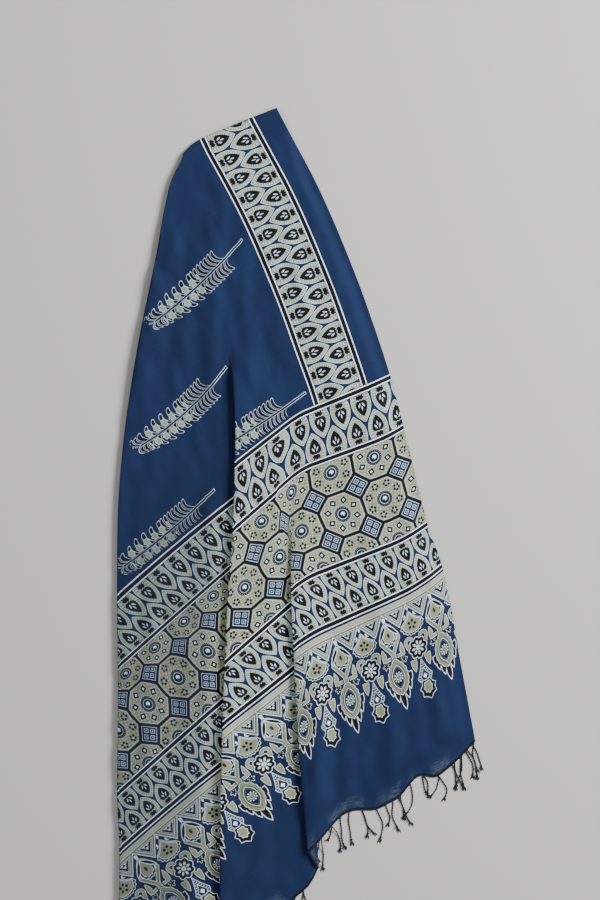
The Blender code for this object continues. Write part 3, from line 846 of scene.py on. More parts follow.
def grid_faces(shape):
    numbers = np.arange(shape[0] * shape[1]).reshape(shape[:2])
    corners = [numbers[:-1, :-1], numbers[1:, :-1], numbers[1:, 1:], numbers[:-1, 1:]]
    return np.stack([corner.ravel() for corner in corners], 1)


def add_object(name, data):
    made = bpy.data.objects.new(name, data)
    bpy.context.scene.collection.objects.link(made)
    return made


def mesh_object(name, points, faces):
    mesh = bpy.data.meshes.new(name)
    mesh.from_pydata([], [], [])
    mesh.vertices.add(len(points))
    mesh.vertices.foreach_set("co", np.ascontiguousarray(points, np.float32).ravel())
    mesh.loops.add(faces.size)
    mesh.loops.foreach_set("vertex_index", faces.astype(np.int32).ravel())
    mesh.polygons.add(len(faces))
    mesh.polygons.foreach_set("loop_start", np.arange(0, faces.size, faces.shape[1], dtype=np.int32))
    mesh.update(calc_edges=True)
    mesh.shade_smooth()
    return add_object(name, mesh)


def add_uv(made, name, per_loop):
    layer = made.data.uv_layers.new(name=name)
    layer.uv.foreach_set("vector", np.ascontiguousarray(per_loop, np.float32).ravel())


class Term:
    """A number in a material's node tree, with the sums written as in Python.

    A comparison is 1 where it is true, otherwise 0.
    """

    def __init__(self, graph, socket):
        self.graph = graph
        self.socket = socket

    def math(self, operation, *others, clamp=False):
        made = self.graph.node("ShaderNodeMath", self, *others, operation=operation, use_clamp=clamp)
        return Term(self.graph, made.outputs[0])

    def __add__(self, other):
        return self.math("ADD", other)

    __radd__ = __add__

    def __sub__(self, other):
        return self.math("SUBTRACT", other)

    def __rsub__(self, other):
        return self.math("MULTIPLY_ADD", -1.0, other)

    def __mul__(self, other):
        return self.math("MULTIPLY", other)

    __rmul__ = __mul__

    def __truediv__(self, other):
        return self.math("DIVIDE", other)

    def __pow__(self, other):
        return self.math("POWER", other)

    def __lt__(self, other):
        return self.math("LESS_THAN", other)

    def __gt__(self, other):
        return self.math("GREATER_THAN", other)

    def __neg__(self):
        return self * -1.0

    def __abs__(self):
        return self.math("ABSOLUTE")


class Graph:
    """A material's node tree, and the print drawn on it. Lengths are in mm.

    colour is the print so far. A shape is the distance to its edge, below 0 inside it.
    """

    def __init__(self, name):
        self.material = bpy.data.materials.new(name)
        self.material.use_nodes = True
        self.tree = self.material.node_tree
        self.shader = self.tree.nodes["Principled BSDF"]
        self.colour = BLUE

    def node(self, kind, *values, **settings):
        """A node of this kind, with these values in its first inputs."""
        made = self.tree.nodes.new(kind)
        for name, value in settings.items():
            setattr(made, name, value)
        for socket, value in zip(made.inputs, values):
            self.feed(socket, value)
        return made

    def feed(self, socket, value):
        if isinstance(value, Term):
            self.tree.links.new(value.socket, socket)
        elif isinstance(value, bpy.types.NodeSocket):
            self.tree.links.new(value, socket)
        elif socket.type == "RGBA":
            socket.default_value = (*value, 1)
        else:
            socket.default_value = value

    def parts(self, vector):
        """The first two numbers of a vector."""
        made = self.node("ShaderNodeSeparateXYZ", vector)
        return Term(self, made.outputs[0]), Term(self, made.outputs[1])

    def uv(self, name):
        return self.node("ShaderNodeUVMap", uv_map=name).outputs[0]

    def stretched(self, vector, scale):
        made = self.node("ShaderNodeMapping", vector)
        set_inputs(made, Scale=scale)
        return made.outputs[0]

    def noise(self, vector, scale, detail, roughness=0.5, output="Fac"):
        made = self.node("ShaderNodeTexNoise", vector)
        set_inputs(made, Scale=scale, Detail=detail, Roughness=roughness)
        return Term(self, made.outputs[output])

    def patches(self, vector, kind):
        found = self.noise(vector, kind.scale, kind.detail, kind.roughness)
        return spread_between(found, kind.low, kind.high) * kind.share

    def blend(self, kind, first, low, high, share):
        """A mix of this kind of value, whose inputs for it start at this one."""
        made = self.node("ShaderNodeMix", share, data_type=kind)
        self.feed(made.inputs[first], low)
        self.feed(made.inputs[first + 1], high)
        return made.outputs

    def mix(self, below, colour, share):
        return self.blend("RGBA", 6, below, colour, share)[2]

    def ink(self, colour, share):
        self.colour = self.mix(self.colour, colour, share)

    def draw(self, colour, shape, softness=SOFTNESS):
        self.ink(colour, cover(shape, softness))

    def draw_all(self, shape, inks):
        for ink in inks:
            self.draw(ink.colour, shape - ink.reach if ink.reach else shape, ink.softness)

    def keep_inside(self, shape, ground):
        """The print so far inside a shape, and the ground outside it."""
        self.colour = self.mix(ground, self.colour, cover(shape))

    def finish(self, relief, strength, depth, shine):
        """The print so far on the shader, with its relief and shine."""
        bump = self.node("ShaderNodeBump")
        set_inputs(bump, Strength=strength, Distance=depth)
        self.feed(bump.inputs["Height"], relief)
        self.feed(self.shader.inputs["Base Color"], self.colour)
        self.feed(self.shader.inputs["Normal"], bump.outputs[0])
        set_inputs(self.shader, **shine)
        return self.material


def set_inputs(node, **values):
    for name, value in values.items():
        node.inputs[name].default_value = value


def least(first, *others):
    for other in others:
        first = first.math("MINIMUM", other)
    return first


def most(first, *others):
    for other in others:
        first = first.math("MAXIMUM", other)
    return first


def sine(term):
    return term.math("SINE")


def cosine(term):
    return term.math("COSINE")


def wave(term, rate, height):
    return cosine(term * rate) * height


def bearing(y, x):
    return y.math("ARCTAN2", x)


def wrap(term, pitch, centre=0.0):
    """Distance from the nearest of a row of places this far apart."""
    return (term - centre if centre else term).math("WRAP", pitch / 2, -pitch / 2)


def spread_between(term, low, high, to_low=0.0, to_high=1.0):
    made = term.graph.node("ShaderNodeMapRange", term, low, high, to_low, to_high)
    return Term(term.graph, made.outputs[0])


def choose(share, low, high):
    """low where share is 0 and high where it is 1."""
    return Term(share.graph, share.graph.blend("FLOAT", 2, low, high, share)[0])


def cover(shape, softness=SOFTNESS):
    """1 inside a shape and 0 outside it."""
    return shape.math("MULTIPLY_ADD", -1 / softness, 0.5, clamp=True)


def length(x, y):
    joined = x.graph.node("ShaderNodeCombineXYZ", x, y).outputs[0]
    return Term(x.graph, x.graph.node("ShaderNodeVectorMath", joined, operation="LENGTH").outputs["Value"])


def circle(x, y, radius):
    return length(x, y) - radius


def oval(x, y, half_width, half_height):
    return (length(x / half_width, y / half_height) - 1) * min(half_width, half_height)


def rhombus(x, y, half_width, half_height):
    slant = half_width * half_height / math.hypot(half_width, half_height)
    return (abs(x) / half_width + abs(y) / half_height - 1) * slant


def stroke(x, y, start, end, width):
    """A straight stroke between two points."""
    along_x, along_y = end[0] - start[0], end[1] - start[1]
    reach = math.hypot(along_x, along_y)
    along_x, along_y = along_x / reach, along_y / reach
    run = (x - start[0]) * along_x + (y - start[1]) * along_y
    aside = (x - start[0]) * along_y - (y - start[1]) * along_x
    past = most(abs(run - reach / 2) - reach / 2, 0.0)
    return length(past, aside) - width / 2


def turned(x, y, degrees):
    cos, sin = math.cos(math.radians(degrees)), math.sin(math.radians(degrees))
    return x * cos + y * sin, y * cos - x * sin


def rays(x, y, count, first_degrees=0.0):
    """The place folded into one of a rosette's equal parts: outward from its centre, and aside."""
    folded = wrap(bearing(y, x), 2 * math.pi / count, math.radians(first_degrees))
    radius = length(x, y)
    return radius * cosine(folded), radius * sine(folded)


def pointed(x, y, half_width, shoulder, tip):
    """A pointed arch: upright sides up to the shoulder, and two arcs up to its tip."""
    rise = tip - shoulder
    past = (rise * rise - half_width * half_width) / (2 * half_width)
    return length(abs(x) + past, most(y - shoulder, 0.0)) - (past + half_width)


def dye(graph, uv):
    """The indigo ground: unevenly dyed, with slubs along both sets of threads."""
    graph.ink(DEEP_BLUE, graph.patches(uv, BLOTCHES))
    for slub in (WEFT_SLUB, WARP_SLUB):
        graph.ink(SLUB_BLUE, graph.patches(graph.stretched(uv, slub), SLUBS))


def finish_cloth(graph, uv):
    """Wear over the print, painted shade over the outer panel, the weave, and a soft dry surface."""
    graph.ink(BLUE, graph.patches(uv, WEAR))
    u, v = graph.parts(uv)
    # Painted shade: the outer panel, in shade beside the large pleat, is darkened past a slanting line and up
    # to the field
    painted_shade = spread_between(u + v, PANEL_SHADE_FROM, PANEL_SHADE_FROM + PANEL_SHADE_RUN, 0.0, PANEL_SHADE_SHARE)
    graph.ink(OUTER_PANEL_SHADE_BLUE, painted_shade * spread_between(v, *PANEL_SHADE_FADE))
    turn = math.pi / THREAD_PITCH
    weave = sine(u * turn) * sine(v * turn) * WEAVE_SHARE
    relief = weave + graph.noise(uv, CREASE_GRAIN, 3.0, 0.6) * CREASE_SHARE
    return graph.finish(relief, WEAVE_STRENGTH, WEAVE_DEPTH, CLOTH_SHINE)


def block_place(graph, map_name, wobble, grain):
    """A map's place in mm, with a printing block's small unevenness."""
    uneven = graph.parts(graph.noise(graph.uv("print"), grain, 1.0, output="Color"))
    places = graph.parts(graph.uv(map_name))
    return [place * MM_PER_METRE + (way - 0.5) * (2 * wobble) for place, way in zip(places, uneven)]


def printed_cloth(name, draw, *sizes, map_name="print", wobble=BLOCK_WOBBLE, grain=BLOCK_GRAIN):
    """The dyed cloth with one print over it, which is drawn at its own place."""
    graph = Graph(name)
    uv = graph.uv("print")
    dye(graph, uv)
    if draw:
        draw(graph, *block_place(graph, map_name, wobble, grain), *sizes)
    return finish_cloth(graph, uv)


def line_pair(graph, distance):
    """A black stripe between two thin white ones, across this distance."""
    graph.draw_all(abs(distance), LINE_INKS)


def leaf_edge(x, y):
    """A full-bodied pointed leaf standing on y = 0."""
    rise = most((y - LEAF_SHOULDER) / (LEAF_TIP - LEAF_SHOULDER), 0.0)
    half = LEAF_HALF - rise**2.2 * LEAF_HALF
    narrowing = most(1.0 - y / LEAF_SHOULDER, 0.0)
    half = half - narrowing * narrowing * LEAF_NARROWING
    return (abs(x) - half) * (1.0 - rise * 0.3)


def leaf_rows(graph, first, second):
    """Two rows of pointed leaves, their tips between one another, each at its own x and y."""
    first_edge = leaf_edge(*first)
    second_edge = leaf_edge(*second)
    nearer = second_edge < first_edge
    x, y = (choose(nearer, one, other) for one, other in zip(first, second))
    edge = least(first_edge, second_edge)
    side = abs(x)
    graph.draw_all(edge, LEAF_INKS)
    run = bearing(most(y - LEAF_SHOULDER, 0.0), side + 14.0) * 30.0
    run = run + least(y, LEAF_SHOULDER)
    graph.draw(TICK_PALE, most(abs(wrap(run, TICK_PITCH)) - 1.4, abs(edge + 3.6) - 1.9))
    graph.draw(LEAF_CREAM, edge + 6.1)

    # The black leaf and its foot
    leaf = pointed(x, y, half_width=8.1, shoulder=11.0, tip=28.6)
    leaf = most(leaf, oval(x, y - BLACK_LEAF_Y, half_width=9.8, half_height=11.1))
    waved = wave(x, rate=1.5, height=0.5)
    foot = most(side - 4.9 - wave(y, rate=1.6, height=0.5), abs(y - 3.7 + waved) - 3.0)
    graph.draw(BLACK, least(leaf, foot))
    line = most(abs(y - 7.2 + waved) - 0.25, side - 5.4)
    petal_x, petal_y = turned(side - 2.7, y - 13.6, degrees=-26)
    bud = least(
        oval(x, y - BLACK_LEAF_Y, half_width=0.7, half_height=2.5),
        oval(petal_x, petal_y, half_width=0.9, half_height=2.7),
    )
    graph.draw(EDGE_WHITE, least(bud, line), softness=0.55)


def draw_hem(graph, _, v):
    """A rolled edge, with loose greyish patches beside it."""
    uv = graph.uv("print")
    threads = graph.patches(graph.stretched(uv, HEM_THREAD), HEM_THREADS)
    loose = spread_between(v, *HEM_GREY_TOP) * spread_between(v, *HEM_GREY_FOOT)
    graph.ink(HEM_GREY, threads * graph.patches(uv, HEM_PATCHES) * loose)
    graph.draw(HEM_BLACK, v - HEM_ROLL, HEM_ROLL / 2)


def draw_leaf_band(graph, u, v, top, bottom):
    """Leaves between two line pairs."""
    ground = graph.colour
    stretch = LEAF_ROOM / (top - bottom - 2 * LEAF_START)
    leaf_rows(
        graph,
        (wrap(u, LEAF_PITCH, UPPER_LEAF_U), ((top - LEAF_START) - v) * stretch),
        (wrap(u, LEAF_PITCH, LOWER_LEAF_U), (v - (bottom + LEAF_START)) * stretch),
    )
    graph.keep_inside(abs(v - (top + bottom) / 2) - (top - bottom) / 2, ground)
    line_pair(graph, v - top)
    line_pair(graph, v - bottom)


def draw_border(graph, u, v):
    """Two columns of leaves along the selvedge, between their own line pairs."""
    ground = graph.colour
    shrink = LEAF_PITCH / BORDER_PITCH
    leaf_rows(
        graph,
        (wrap(v, BORDER_PITCH, OUTER_LEAF_V) * shrink, u - (BORDER_OUTER + LEAF_START)),
        (wrap(v, BORDER_PITCH, INNER_LEAF_V) * shrink, (BORDER_INNER - LEAF_START) - u),
    )
    graph.keep_inside(abs(u - (BORDER_OUTER + BORDER_INNER) / 2) - (BORDER_INNER - BORDER_OUTER) / 2, ground)
    line_pair(graph, u - BORDER_OUTER)
    line_pair(graph, u - BORDER_INNER)
    line_pair(graph, v - LINE_PAIRS[0])


def draw_octagons(graph, u, v):
    """Octagons with eight sprigs or eight lozenges round a rosette, and squares at their corners."""
    half = OCTAGON_PITCH / 2
    x = wrap(u, OCTAGON_PITCH, OCTAGON_U)
    y = wrap(v, OCTAGON_PITCH, OCTAGON_V)
    cells = ((u - OCTAGON_U) - x + (v - OCTAGON_V) - y) / OCTAGON_PITCH
    odd = abs((cells + 0.5).math("WRAP", 1.5, -0.5) - 0.5) > 0.5
    angle = bearing(y, x)
    radius = length(x, y)

    # Cream ground with white seeds
    graph.colour = CREAM
    seed_x = wrap(x + y * 0.35, pitch=4.9)
    seed_y = wrap(y - x * 0.35, pitch=4.6)
    graph.draw(SEED_PALE, circle(seed_x, seed_y, radius=0.85), softness=1.0)

    # Eight sprigs of five dots, or eight lozenges
    out, aside = rays(x, y, count=8, first_degrees=22.5)
    dot_out, dot_aside = rays(out - SPRIG_OUT, aside, count=5, first_degrees=36.0)
    dots = least(circle(dot_out - 3.4, dot_aside, radius=1.75), circle(dot_out, dot_aside, radius=0.6))
    lozenge = rhombus(out - LOZENGE_OUT, aside, half_width=5.7, half_height=4.9)
    ring = most(lozenge, -(lozenge + 2.5))
    halo = choose(odd, circle(out - SPRIG_OUT, aside, radius=2.0), lozenge - 0.7)
    graph.draw(HALO_PALE, halo, softness=0.8)
    graph.draw(WHITE, choose(odd, halo + 3.0, lozenge + 2.0), softness=0.7)
    graph.draw(SPRIG_BLACK, choose(odd, dots, ring))

    # Rosette in the middle
    graph.draw(ROSETTE_PALE, radius - 11.4, softness=0.8)
    graph.draw(DEEP_BLUE, radius - 10.5 - wave(angle, rate=20.0, height=0.3))
    bead_out, bead_aside = rays(x, y, count=20)
    graph.draw(LEAF_PALE, circle(bead_out - 9.0, bead_aside, radius=0.34), softness=0.6)
    graph.draw_all(radius, ROSETTE_INKS)
    graph.draw(WHITE, circle(x + 0.4, y - 0.5, radius=2.7))
    graph.draw(BLUE, circle(x - 0.8, y + 1.0, radius=1.1), softness=0.6)

    # Outlines between the octagons, with beaded edges
    to_x = half - abs(x)
    to_y = half - abs(y)
    corner = (OCTAGON_REACH - abs(x) - abs(y)) * math.sqrt(0.5)
    inside = least(to_x, to_y, corner)
    bead = wave(angle, rate=104.0, height=0.32)
    graph.draw(BEAD_PALE, abs(inside - 3.0) - 0.35 + bead)
    graph.draw(OUTLINE_BLACK, inside - 2.1 - bead)

    # Squares at the corners: a frame, and four small squares
    far = (to_x + to_y) * math.sqrt(0.5)
    near = abs(to_x - to_y) * math.sqrt(0.5)
    small = most(abs(far - 4.3), abs(near - 4.3))
    graph.draw(TILE_BLUE, corner + 1.2)
    for tile in (abs(corner + 2.5) - 0.3, abs(small - 2.6) - 0.32, small - 0.7):
        graph.draw(TILE_PALE, tile, softness=0.4)

    line_pair(graph, v - LINE_PAIRS[1])
    line_pair(graph, v - LINE_PAIRS[2])


def cream_shape(graph, shape, dark=1.6):
    """A cream shape in a thin pale line, parted from what is beneath by a thin dark one."""
    graph.draw_all(shape, (Ink(DARK_EDGE, dark), Ink(EDGE_WHITE, 0.05), Ink(CREAM, -0.5)))


def black_shape(graph, shape, pale=0.7):
    """A black shape in a thin pale line."""
    graph.draw_all(shape, (Ink(EDGE_WHITE, pale), Ink(BLACK, 0)))


def draw_strip(graph, x, y):
    """The cream strip under the last line pair, and the row of triangles hanging from it."""
    inside = ((y - TRIANGLE_TIP) * TRIANGLE_SLOPE - abs(x)) / math.hypot(1, TRIANGLE_SLOPE)
    inside = least(inside, TRIANGLE_TOP - y)
    graph.draw_all(-inside, TRIANGLE_INKS)
    graph.draw(LINE_GREEN, most(abs(inside - 2.5) - 0.4, wave(y, rate=2.3, height=0.8)), softness=0.5)
    graph.draw_all(-inside, INNER_TRIANGLE_INKS)
    graph.draw(EDGE_WHITE, abs(inside - 5.6) - 0.3, softness=0.6)
    graph.draw(BLACK, 5.9 - inside, softness=0.6)
    bud = least(
        oval(abs(x) - 2.9, y - 207.6, half_width=2.1, half_height=1.1),
        circle(x, y - 203.2, radius=1.4),
        circle(abs(x) - 2.3, y - 204.9, radius=0.7),
    )
    graph.draw(EDGE_WHITE, most(bud, 6.2 - inside), softness=0.6)
    strip = abs(y - STRIP_Y) - 3.4
    graph.draw(EDGE_WHITE, strip)
    lined = spread_between(wave(y, rate=2.6, height=1.0), low=-0.8, high=0.0, to_low=0.6, to_high=1.0)
    graph.ink(STRIP_CREAM, cover(strip + 0.35) * lined)
    graph.draw(TILE_BLUE, abs(y - STRIP_LINE_Y) - 1.0)


def draw_eye(graph, x, y):
    """A leaf on crossed stems over a large eye with a beard of flames."""
    side = abs(x)
    graph.draw(EDGE_WHITE, most(pointed(x, 202.0 - y, half_width=2.2, shoulder=-4.0, tip=5.0), y - 207.0))

    # Jagged black bits beside the neck, and the two outer leaves
    bit_x, bit_y = side - 13.0, y - 149.0
    black_shape(graph, circle(bit_x, bit_y, radius=3.1) - wave(bearing(bit_y, bit_x), rate=5.0, height=1.1))
    leaf_x, leaf_y = turned(side - 12.6, y - 157.5, degrees=-6)
    leaves = most(pointed(leaf_x, leaf_y, half_width=3.5, shoulder=0.0, tip=13.0), -3.4 - leaf_y)
    leaves = least(leaves, stroke(side, y, start=(12.0, 155.2), end=(0.0, 156.0), width=4.2))
    cream_shape(graph, most(leaves, 1.7 - length(side - 8.6, y - 159.0)))

    # Crossed stems
    stems = stroke(side, y, start=(12.8, 178.0), end=(-1.5, 157.0), width=4.8)
    cream_shape(graph, least(stems, stroke(x, y, start=(0.0, 160.0), end=(0.0, 150.0), width=6.4)))
    graph.draw(LINE_GREEN, stroke(side, y, start=(11.8, 176.6), end=(1.5, 161.4), width=0.7), softness=0.5)

    # Flames: seven pointed fingers
    flames = pointed(x - 0.6, 103.0 - y, half_width=3.4, shoulder=0.0, tip=12.2)
    for finger in FLAMES:
        tongue = pointed(side - finger.across, finger.foot - y, finger.half, 0.0, finger.reach)
        flames = least(flames, tongue)
    black_shape(graph, most(flames, y - 131.0), pale=0.9)

    # The eye
    eye = circle(side + 12.0, y - EYE_Y + 0.1, radius=26.0) - wave(y, rate=0.95, height=0.45)
    cream_shape(graph, eye, dark=1.3)
    graph.draw(LINE_GREEN, abs(eye + 4.0) - 0.5, softness=0.7)
    graph.draw(LINE_GREEN, abs(eye + 1.9) - 0.2)
    lens = circle(side + 9.0, y - EYE_Y, radius=17.8)
    graph.draw_all(lens, LENS_INKS)
    graph.draw(GREY_GREEN, abs(lens + 2.3) - 0.3)
    out, aside = rays(x, y - EYE_Y, count=10)
    graph.draw(EDGE_WHITE, oval(out - 5.4, aside, half_width=1.0, half_height=0.85), softness=0.6)
    graph.draw_all(out, EYE_CENTRE_INKS)
    graph.draw(CENTRE_BROWN, abs(out - 1.6) - 0.5, softness=0.6)

    # The leaf in its frame
    body = pointed(x, y - EYE_LEAF_Y, half_width=7.6, shoulder=3.0, tip=17.5)
    body = least(most(body, EYE_LEAF_Y - y), circle(x, y - EYE_LEAF_Y - 1.4, radius=7.7))
    body = most(body, EYE_LEAF_Y - 7.2 - y)
    body = body + wave(x, rate=1.35, height=0.7) * spread_between(y, EYE_LEAF_Y, EYE_LEAF_Y - 3.0)
    graph.draw_all(body, EYE_LEAF_INKS)
    cream_shape(graph, body, dark=0.9)
    graph.draw(HEART_BLACK, oval(x, y - EYE_LEAF_Y - 4.0, half_width=1.7, half_height=3.3), softness=0.8)
    roof_x, roof_y = turned(side - 7.2, y - 189.3, degrees=38)
    roof = circle(abs(roof_x) + 27.0, roof_y, radius=28.9)
    black_shape(graph, most(roof, -roof_x - 1.6, abs(roof_y) - 10.4), pale=1.0)


def draw_flower(graph, x, y):
    """A fan of petals, two curls, an eight-petalled flower, and a pendant ending in a bell."""
    side = abs(x)
    graph.draw(EDGE_WHITE, most(pointed(x, 206.5 - y, half_width=1.9, shoulder=-2.5, tip=4.0), y - 209.0))
    hook = most(circle(side - 8.6, y - 197.0, radius=3.0), 1.7 - length(side - 9.6, y - 196.2))
    graph.draw(EDGE_WHITE, hook, softness=0.7)

    # The fan
    fan = circle(x, least(y - FAN_Y, 0.0) * 1.22, radius=14.8)
    fan = most(fan, 30.0 - length(side - 27.4, y - 213.9), y - 200.4)
    scallops = wave(bearing(y - FAN_Y - 2.0, x), rate=20.0, height=0.7)
    below = spread_between(y, FAN_Y, FAN_Y - 3.0)
    graph.draw(EDGE_WHITE, fan - 0.9 - (1.7 + scallops) * below)
    graph.draw(BLACK, fan - 0.1 - (1.5 + scallops) * below)
    graph.draw_all(fan, FAN_INKS)
    out, aside = rays(x, y - FAN_Y + 1.6, count=5, first_degrees=36.0)
    graph.draw(BLACK, oval(out - 4.5, aside, half_width=2.1, half_height=1.75))
    graph.draw(DARK_EDGE, out - 0.7, softness=0.7)

    # Two curls, and two leaves below the flower
    ring = abs(circle(side - 10.6, y - CURL_Y, radius=4.9)) - 2.2
    curls = least(
        most(ring, least(11.4 - side, 164.0 - y)),
        stroke(side, y, start=(15.4, 163.8), end=(13.6, 157.0), width=3.8),
        circle(side - 6.6, y - CURL_Y + 0.8, radius=2.5),
    )
    leaf_x = side - 10.6 + (y - 124.5) * 0.02
    leaf = most(
        pointed(leaf_x, 139.5 - y, half_width=4.4, shoulder=0.0, tip=13.5),
        y - 143.4 + side * 0.12,
        2.3 - length(side - 10.2, y - 143.4),
    )
    cream_shape(graph, least(curls, leaf), dark=1.4)

    # The pendant
    narrow = most((y - PENDANT_Y) / 19.5, 0.0) ** 0.72
    fall = most((PENDANT_Y - y) / 11.8, 0.0)
    pendant = (side / 9.8 + narrow + fall * fall - 1) * 7.2
    black_shape(graph, pendant)
    graph.draw(EDGE_WHITE, most(abs(pendant + 1.1) - 0.35, wave(y, rate=2.1, height=0.8)), softness=0.6)
    graph.draw(EDGE_WHITE, abs(pendant + 2.7) - 0.35, softness=0.6)
    graph.draw(BLUE, pendant + 3.2, softness=0.6)
    graph.draw(WHITE, rhombus(x, y - PENDANT_Y + 0.5, half_width=2.9, half_height=3.3), softness=0.7)

    # The bell
    angle = bearing(x, BELL_Y - y)
    points = 1.0 - abs(sine(angle * 3.5))
    black_shape(graph, (circle(x, (y - BELL_Y) * 0.86, radius=8.9) - points * 2.4) * 0.85)
    cup = oval(x, y - BELL_Y - 1.7, half_width=6.0, half_height=7.6) - wave(angle, rate=7.0, height=0.6)
    graph.draw_all(cup, CUP_INKS)

    # The flower
    radius = length(x, y - FLOWER_Y)
    lobes = abs(wave(bearing(y - FLOWER_Y, x), rate=4.0, height=1.0)) * 2.4
    graph.draw_all(radius - lobes, FLOWER_INKS)
    out, aside = rays(x, y - FLOWER_Y, count=8)
    graph.draw(EDGE_WHITE, oval(out - 6.4, aside, half_width=2.4, half_height=1.35), softness=0.6)
    graph.draw_all(radius, FLOWER_CENTRE_INKS)


def draw_end(graph, u, v):
    y = v - END_RAISED
    across = (u + (END_LEAN_FROM - v) * END_LEAN - END_FIRST) / END_GAIN
    draw_eye(graph, wrap(across, END_PITCH), y)
    draw_flower(graph, wrap(across, END_PITCH, END_PITCH / 2), y)
    draw_strip(graph, wrap(across, END_PITCH / 2, END_PITCH / 4), y)
    line_pair(graph, v - LINE_PAIRS[3])


def draw_feather(graph, x, y):
    """A feather along its own shaft: x from the stem's end to the tip, y away from the shaft."""
    side = abs(y)
    lower = y < 0.0

    # Barbs bow towards the tip and curl back at their ends
    tapering = spread_between(x, FEATHER_LENGTH - 40.0, FEATHER_LENGTH - 4.0, to_low=1.0, to_high=0.62)
    reach = side / (tapering * (lower * 0.14 + 1.30))
    bulge = reach * 1.60 - reach * reach * 0.108
    swept = x - bulge - lower * (reach * 0.35 + 2.6)
    slim = wrap(swept, BARB_PITCH, BARE_STEM + 3.0)
    curled = wrap(swept, 2 * BARB_PITCH, SLIM_BARBS_END + 3.0)
    in_slim = most(swept < SLIM_BARBS_END, swept > FEATHER_LENGTH - 22.0)
    barb = choose(in_slim, curled * 0.8, slim)
    barb = circle(barb, most(reach - 11.6, 0.0) * 0.95, radius=2.45)
    barb = most(barb, BARE_STEM - swept, swept - (FEATHER_LENGTH - 3.0))
    graph.draw_all(barb, BARB_INKS)

    # Cream tufts between the curled barbs
    tuft_x = wrap(x - lower * 3.0, 2 * BARB_PITCH, SLIM_BARBS_END + 12.0)
    tuft_y = side - TUFT_SIDE
    tuft = circle(tuft_x, tuft_y * 0.85, radius=4.5) - wave(bearing(tuft_y, tuft_x), rate=6.0, height=0.6)
    ends = most((SLIM_BARBS_END + 2.0) - x, x - (FEATHER_LENGTH - 16.0))
    graph.draw_all(most(tuft, ends), TUFT_INKS)
    vein = most(abs(tuft_x - tuft_y * 0.5) - 0.35, abs(tuft_y - 0.6) - 2.6, ends)
    graph.draw(GREY_GREEN, vein, softness=0.5)

    # The shaft, and its bare stem
    shaft = most(side - 1.8, -x, x - FEATHER_LENGTH + 4.0)
    bare = spread_between(x, BARE_STEM + 6.0, BARE_STEM - 2.0)
    graph.ink(SHAFT_PALE, cover(shaft, 0.5) * (bare * 0.5 + 0.5))
    graph.draw(DARK_EDGE, shaft + 0.7, softness=0.35)


def build_materials():
    """A material for each kind of print, in the order of REGIONS."""
    above, field_top, field_foot, below = LINE_PAIRS
    return [
        printed_cloth("plain_indigo_cotton", None),
        printed_cloth("printed_side_border", draw_border),
        printed_cloth("printed_leaves_above", draw_leaf_band, above, field_top),
        printed_cloth("printed_octagons", draw_octagons),
        printed_cloth("printed_leaves_below", draw_leaf_band, field_foot, below),
        printed_cloth("printed_end", draw_end),
        printed_cloth(
            "printed_feather",
            draw_feather,
            map_name="feather",
            wobble=FEATHER_WOBBLE,
            grain=FEATHER_GRAIN,
        ),
        printed_cloth("plain_hem", draw_hem, wobble=HEM_WOBBLE),
    ]


def yarn_material():
    """Near-black cotton yarn, bluer in the brushes at the ends."""
    graph = Graph("dark_twisted_yarn")
    place = graph.node("ShaderNodeTexCoord").outputs["Object"]
    mottle = graph.patches(place, MOTTLE)
    shaft = graph.mix(YARN_DARK, YARN_LIGHT, mottle * 0.7)
    brush = graph.mix(BRUSH_DARK, BRUSH_LIGHT, mottle * 0.8)
    graph.colour = graph.mix(shaft, brush, graph.parts(graph.uv("tint"))[0])
    return graph.finish(graph.noise(place, YARN_GRAIN, 1.0), YARN_STRENGTH, YARN_DEPTH, YARN_SHINE)


def swung_strands(line):
    """Pairs of strands for the two other panels, evenly spaced and swung at random."""
    rng = np.random.default_rng(7)
    panels = [
        (line.valley_x - PANEL_MARGIN, line.fold_x + FOLD_MARGIN),
        (line.fold_x - PANEL_MARGIN, line.side_x + SIDE_MARGIN),
    ]
    strands = []
    for start, end in panels:
        count = int((start - end) * PAIRS_FOR_SPACING / PAIR_SPACING)
        for x in np.linspace(start, end, count):
            for swing in (-1, 1):
                root_x = x / MM + rng.uniform(-1.5, 1.5)
                tip_x = swing * rng.uniform(1, 7) - 1
                tip_y = -rng.uniform(32, 42)
                strands.append(Strand(root_x, tip_x, tip_y, swing * rng.uniform(-2, 4)))
    return strands


def tube(path, radii, first_number):
    """Points and faces of a tube along a path that runs mostly level."""
    way = np.gradient(path, axis=0)
    way /= np.linalg.norm(way, axis=1)[:, None]
    aside = np.cross(way, (0, 0, 1))
    aside /= np.linalg.norm(aside, axis=1)[:, None]
    up = np.cross(aside, way)
    angle = 2 * np.pi * np.arange(PLY_SIDES) / PLY_SIDES
    ring = aside[:, None] * np.cos(angle)[None, :, None] + up[:, None] * np.sin(angle)[None, :, None]
    points = path[:, None] + ring * radii[:, None, None]
    numbers = first_number + np.arange(len(path) * PLY_SIDES).reshape(len(path), PLY_SIDES)
    beside = np.roll(numbers, -1, 1)
    faces = np.stack([numbers[:-1], beside[:-1], beside[1:], numbers[1:]], -1).reshape(-1, 4)
    return points.reshape(-1, 3), faces


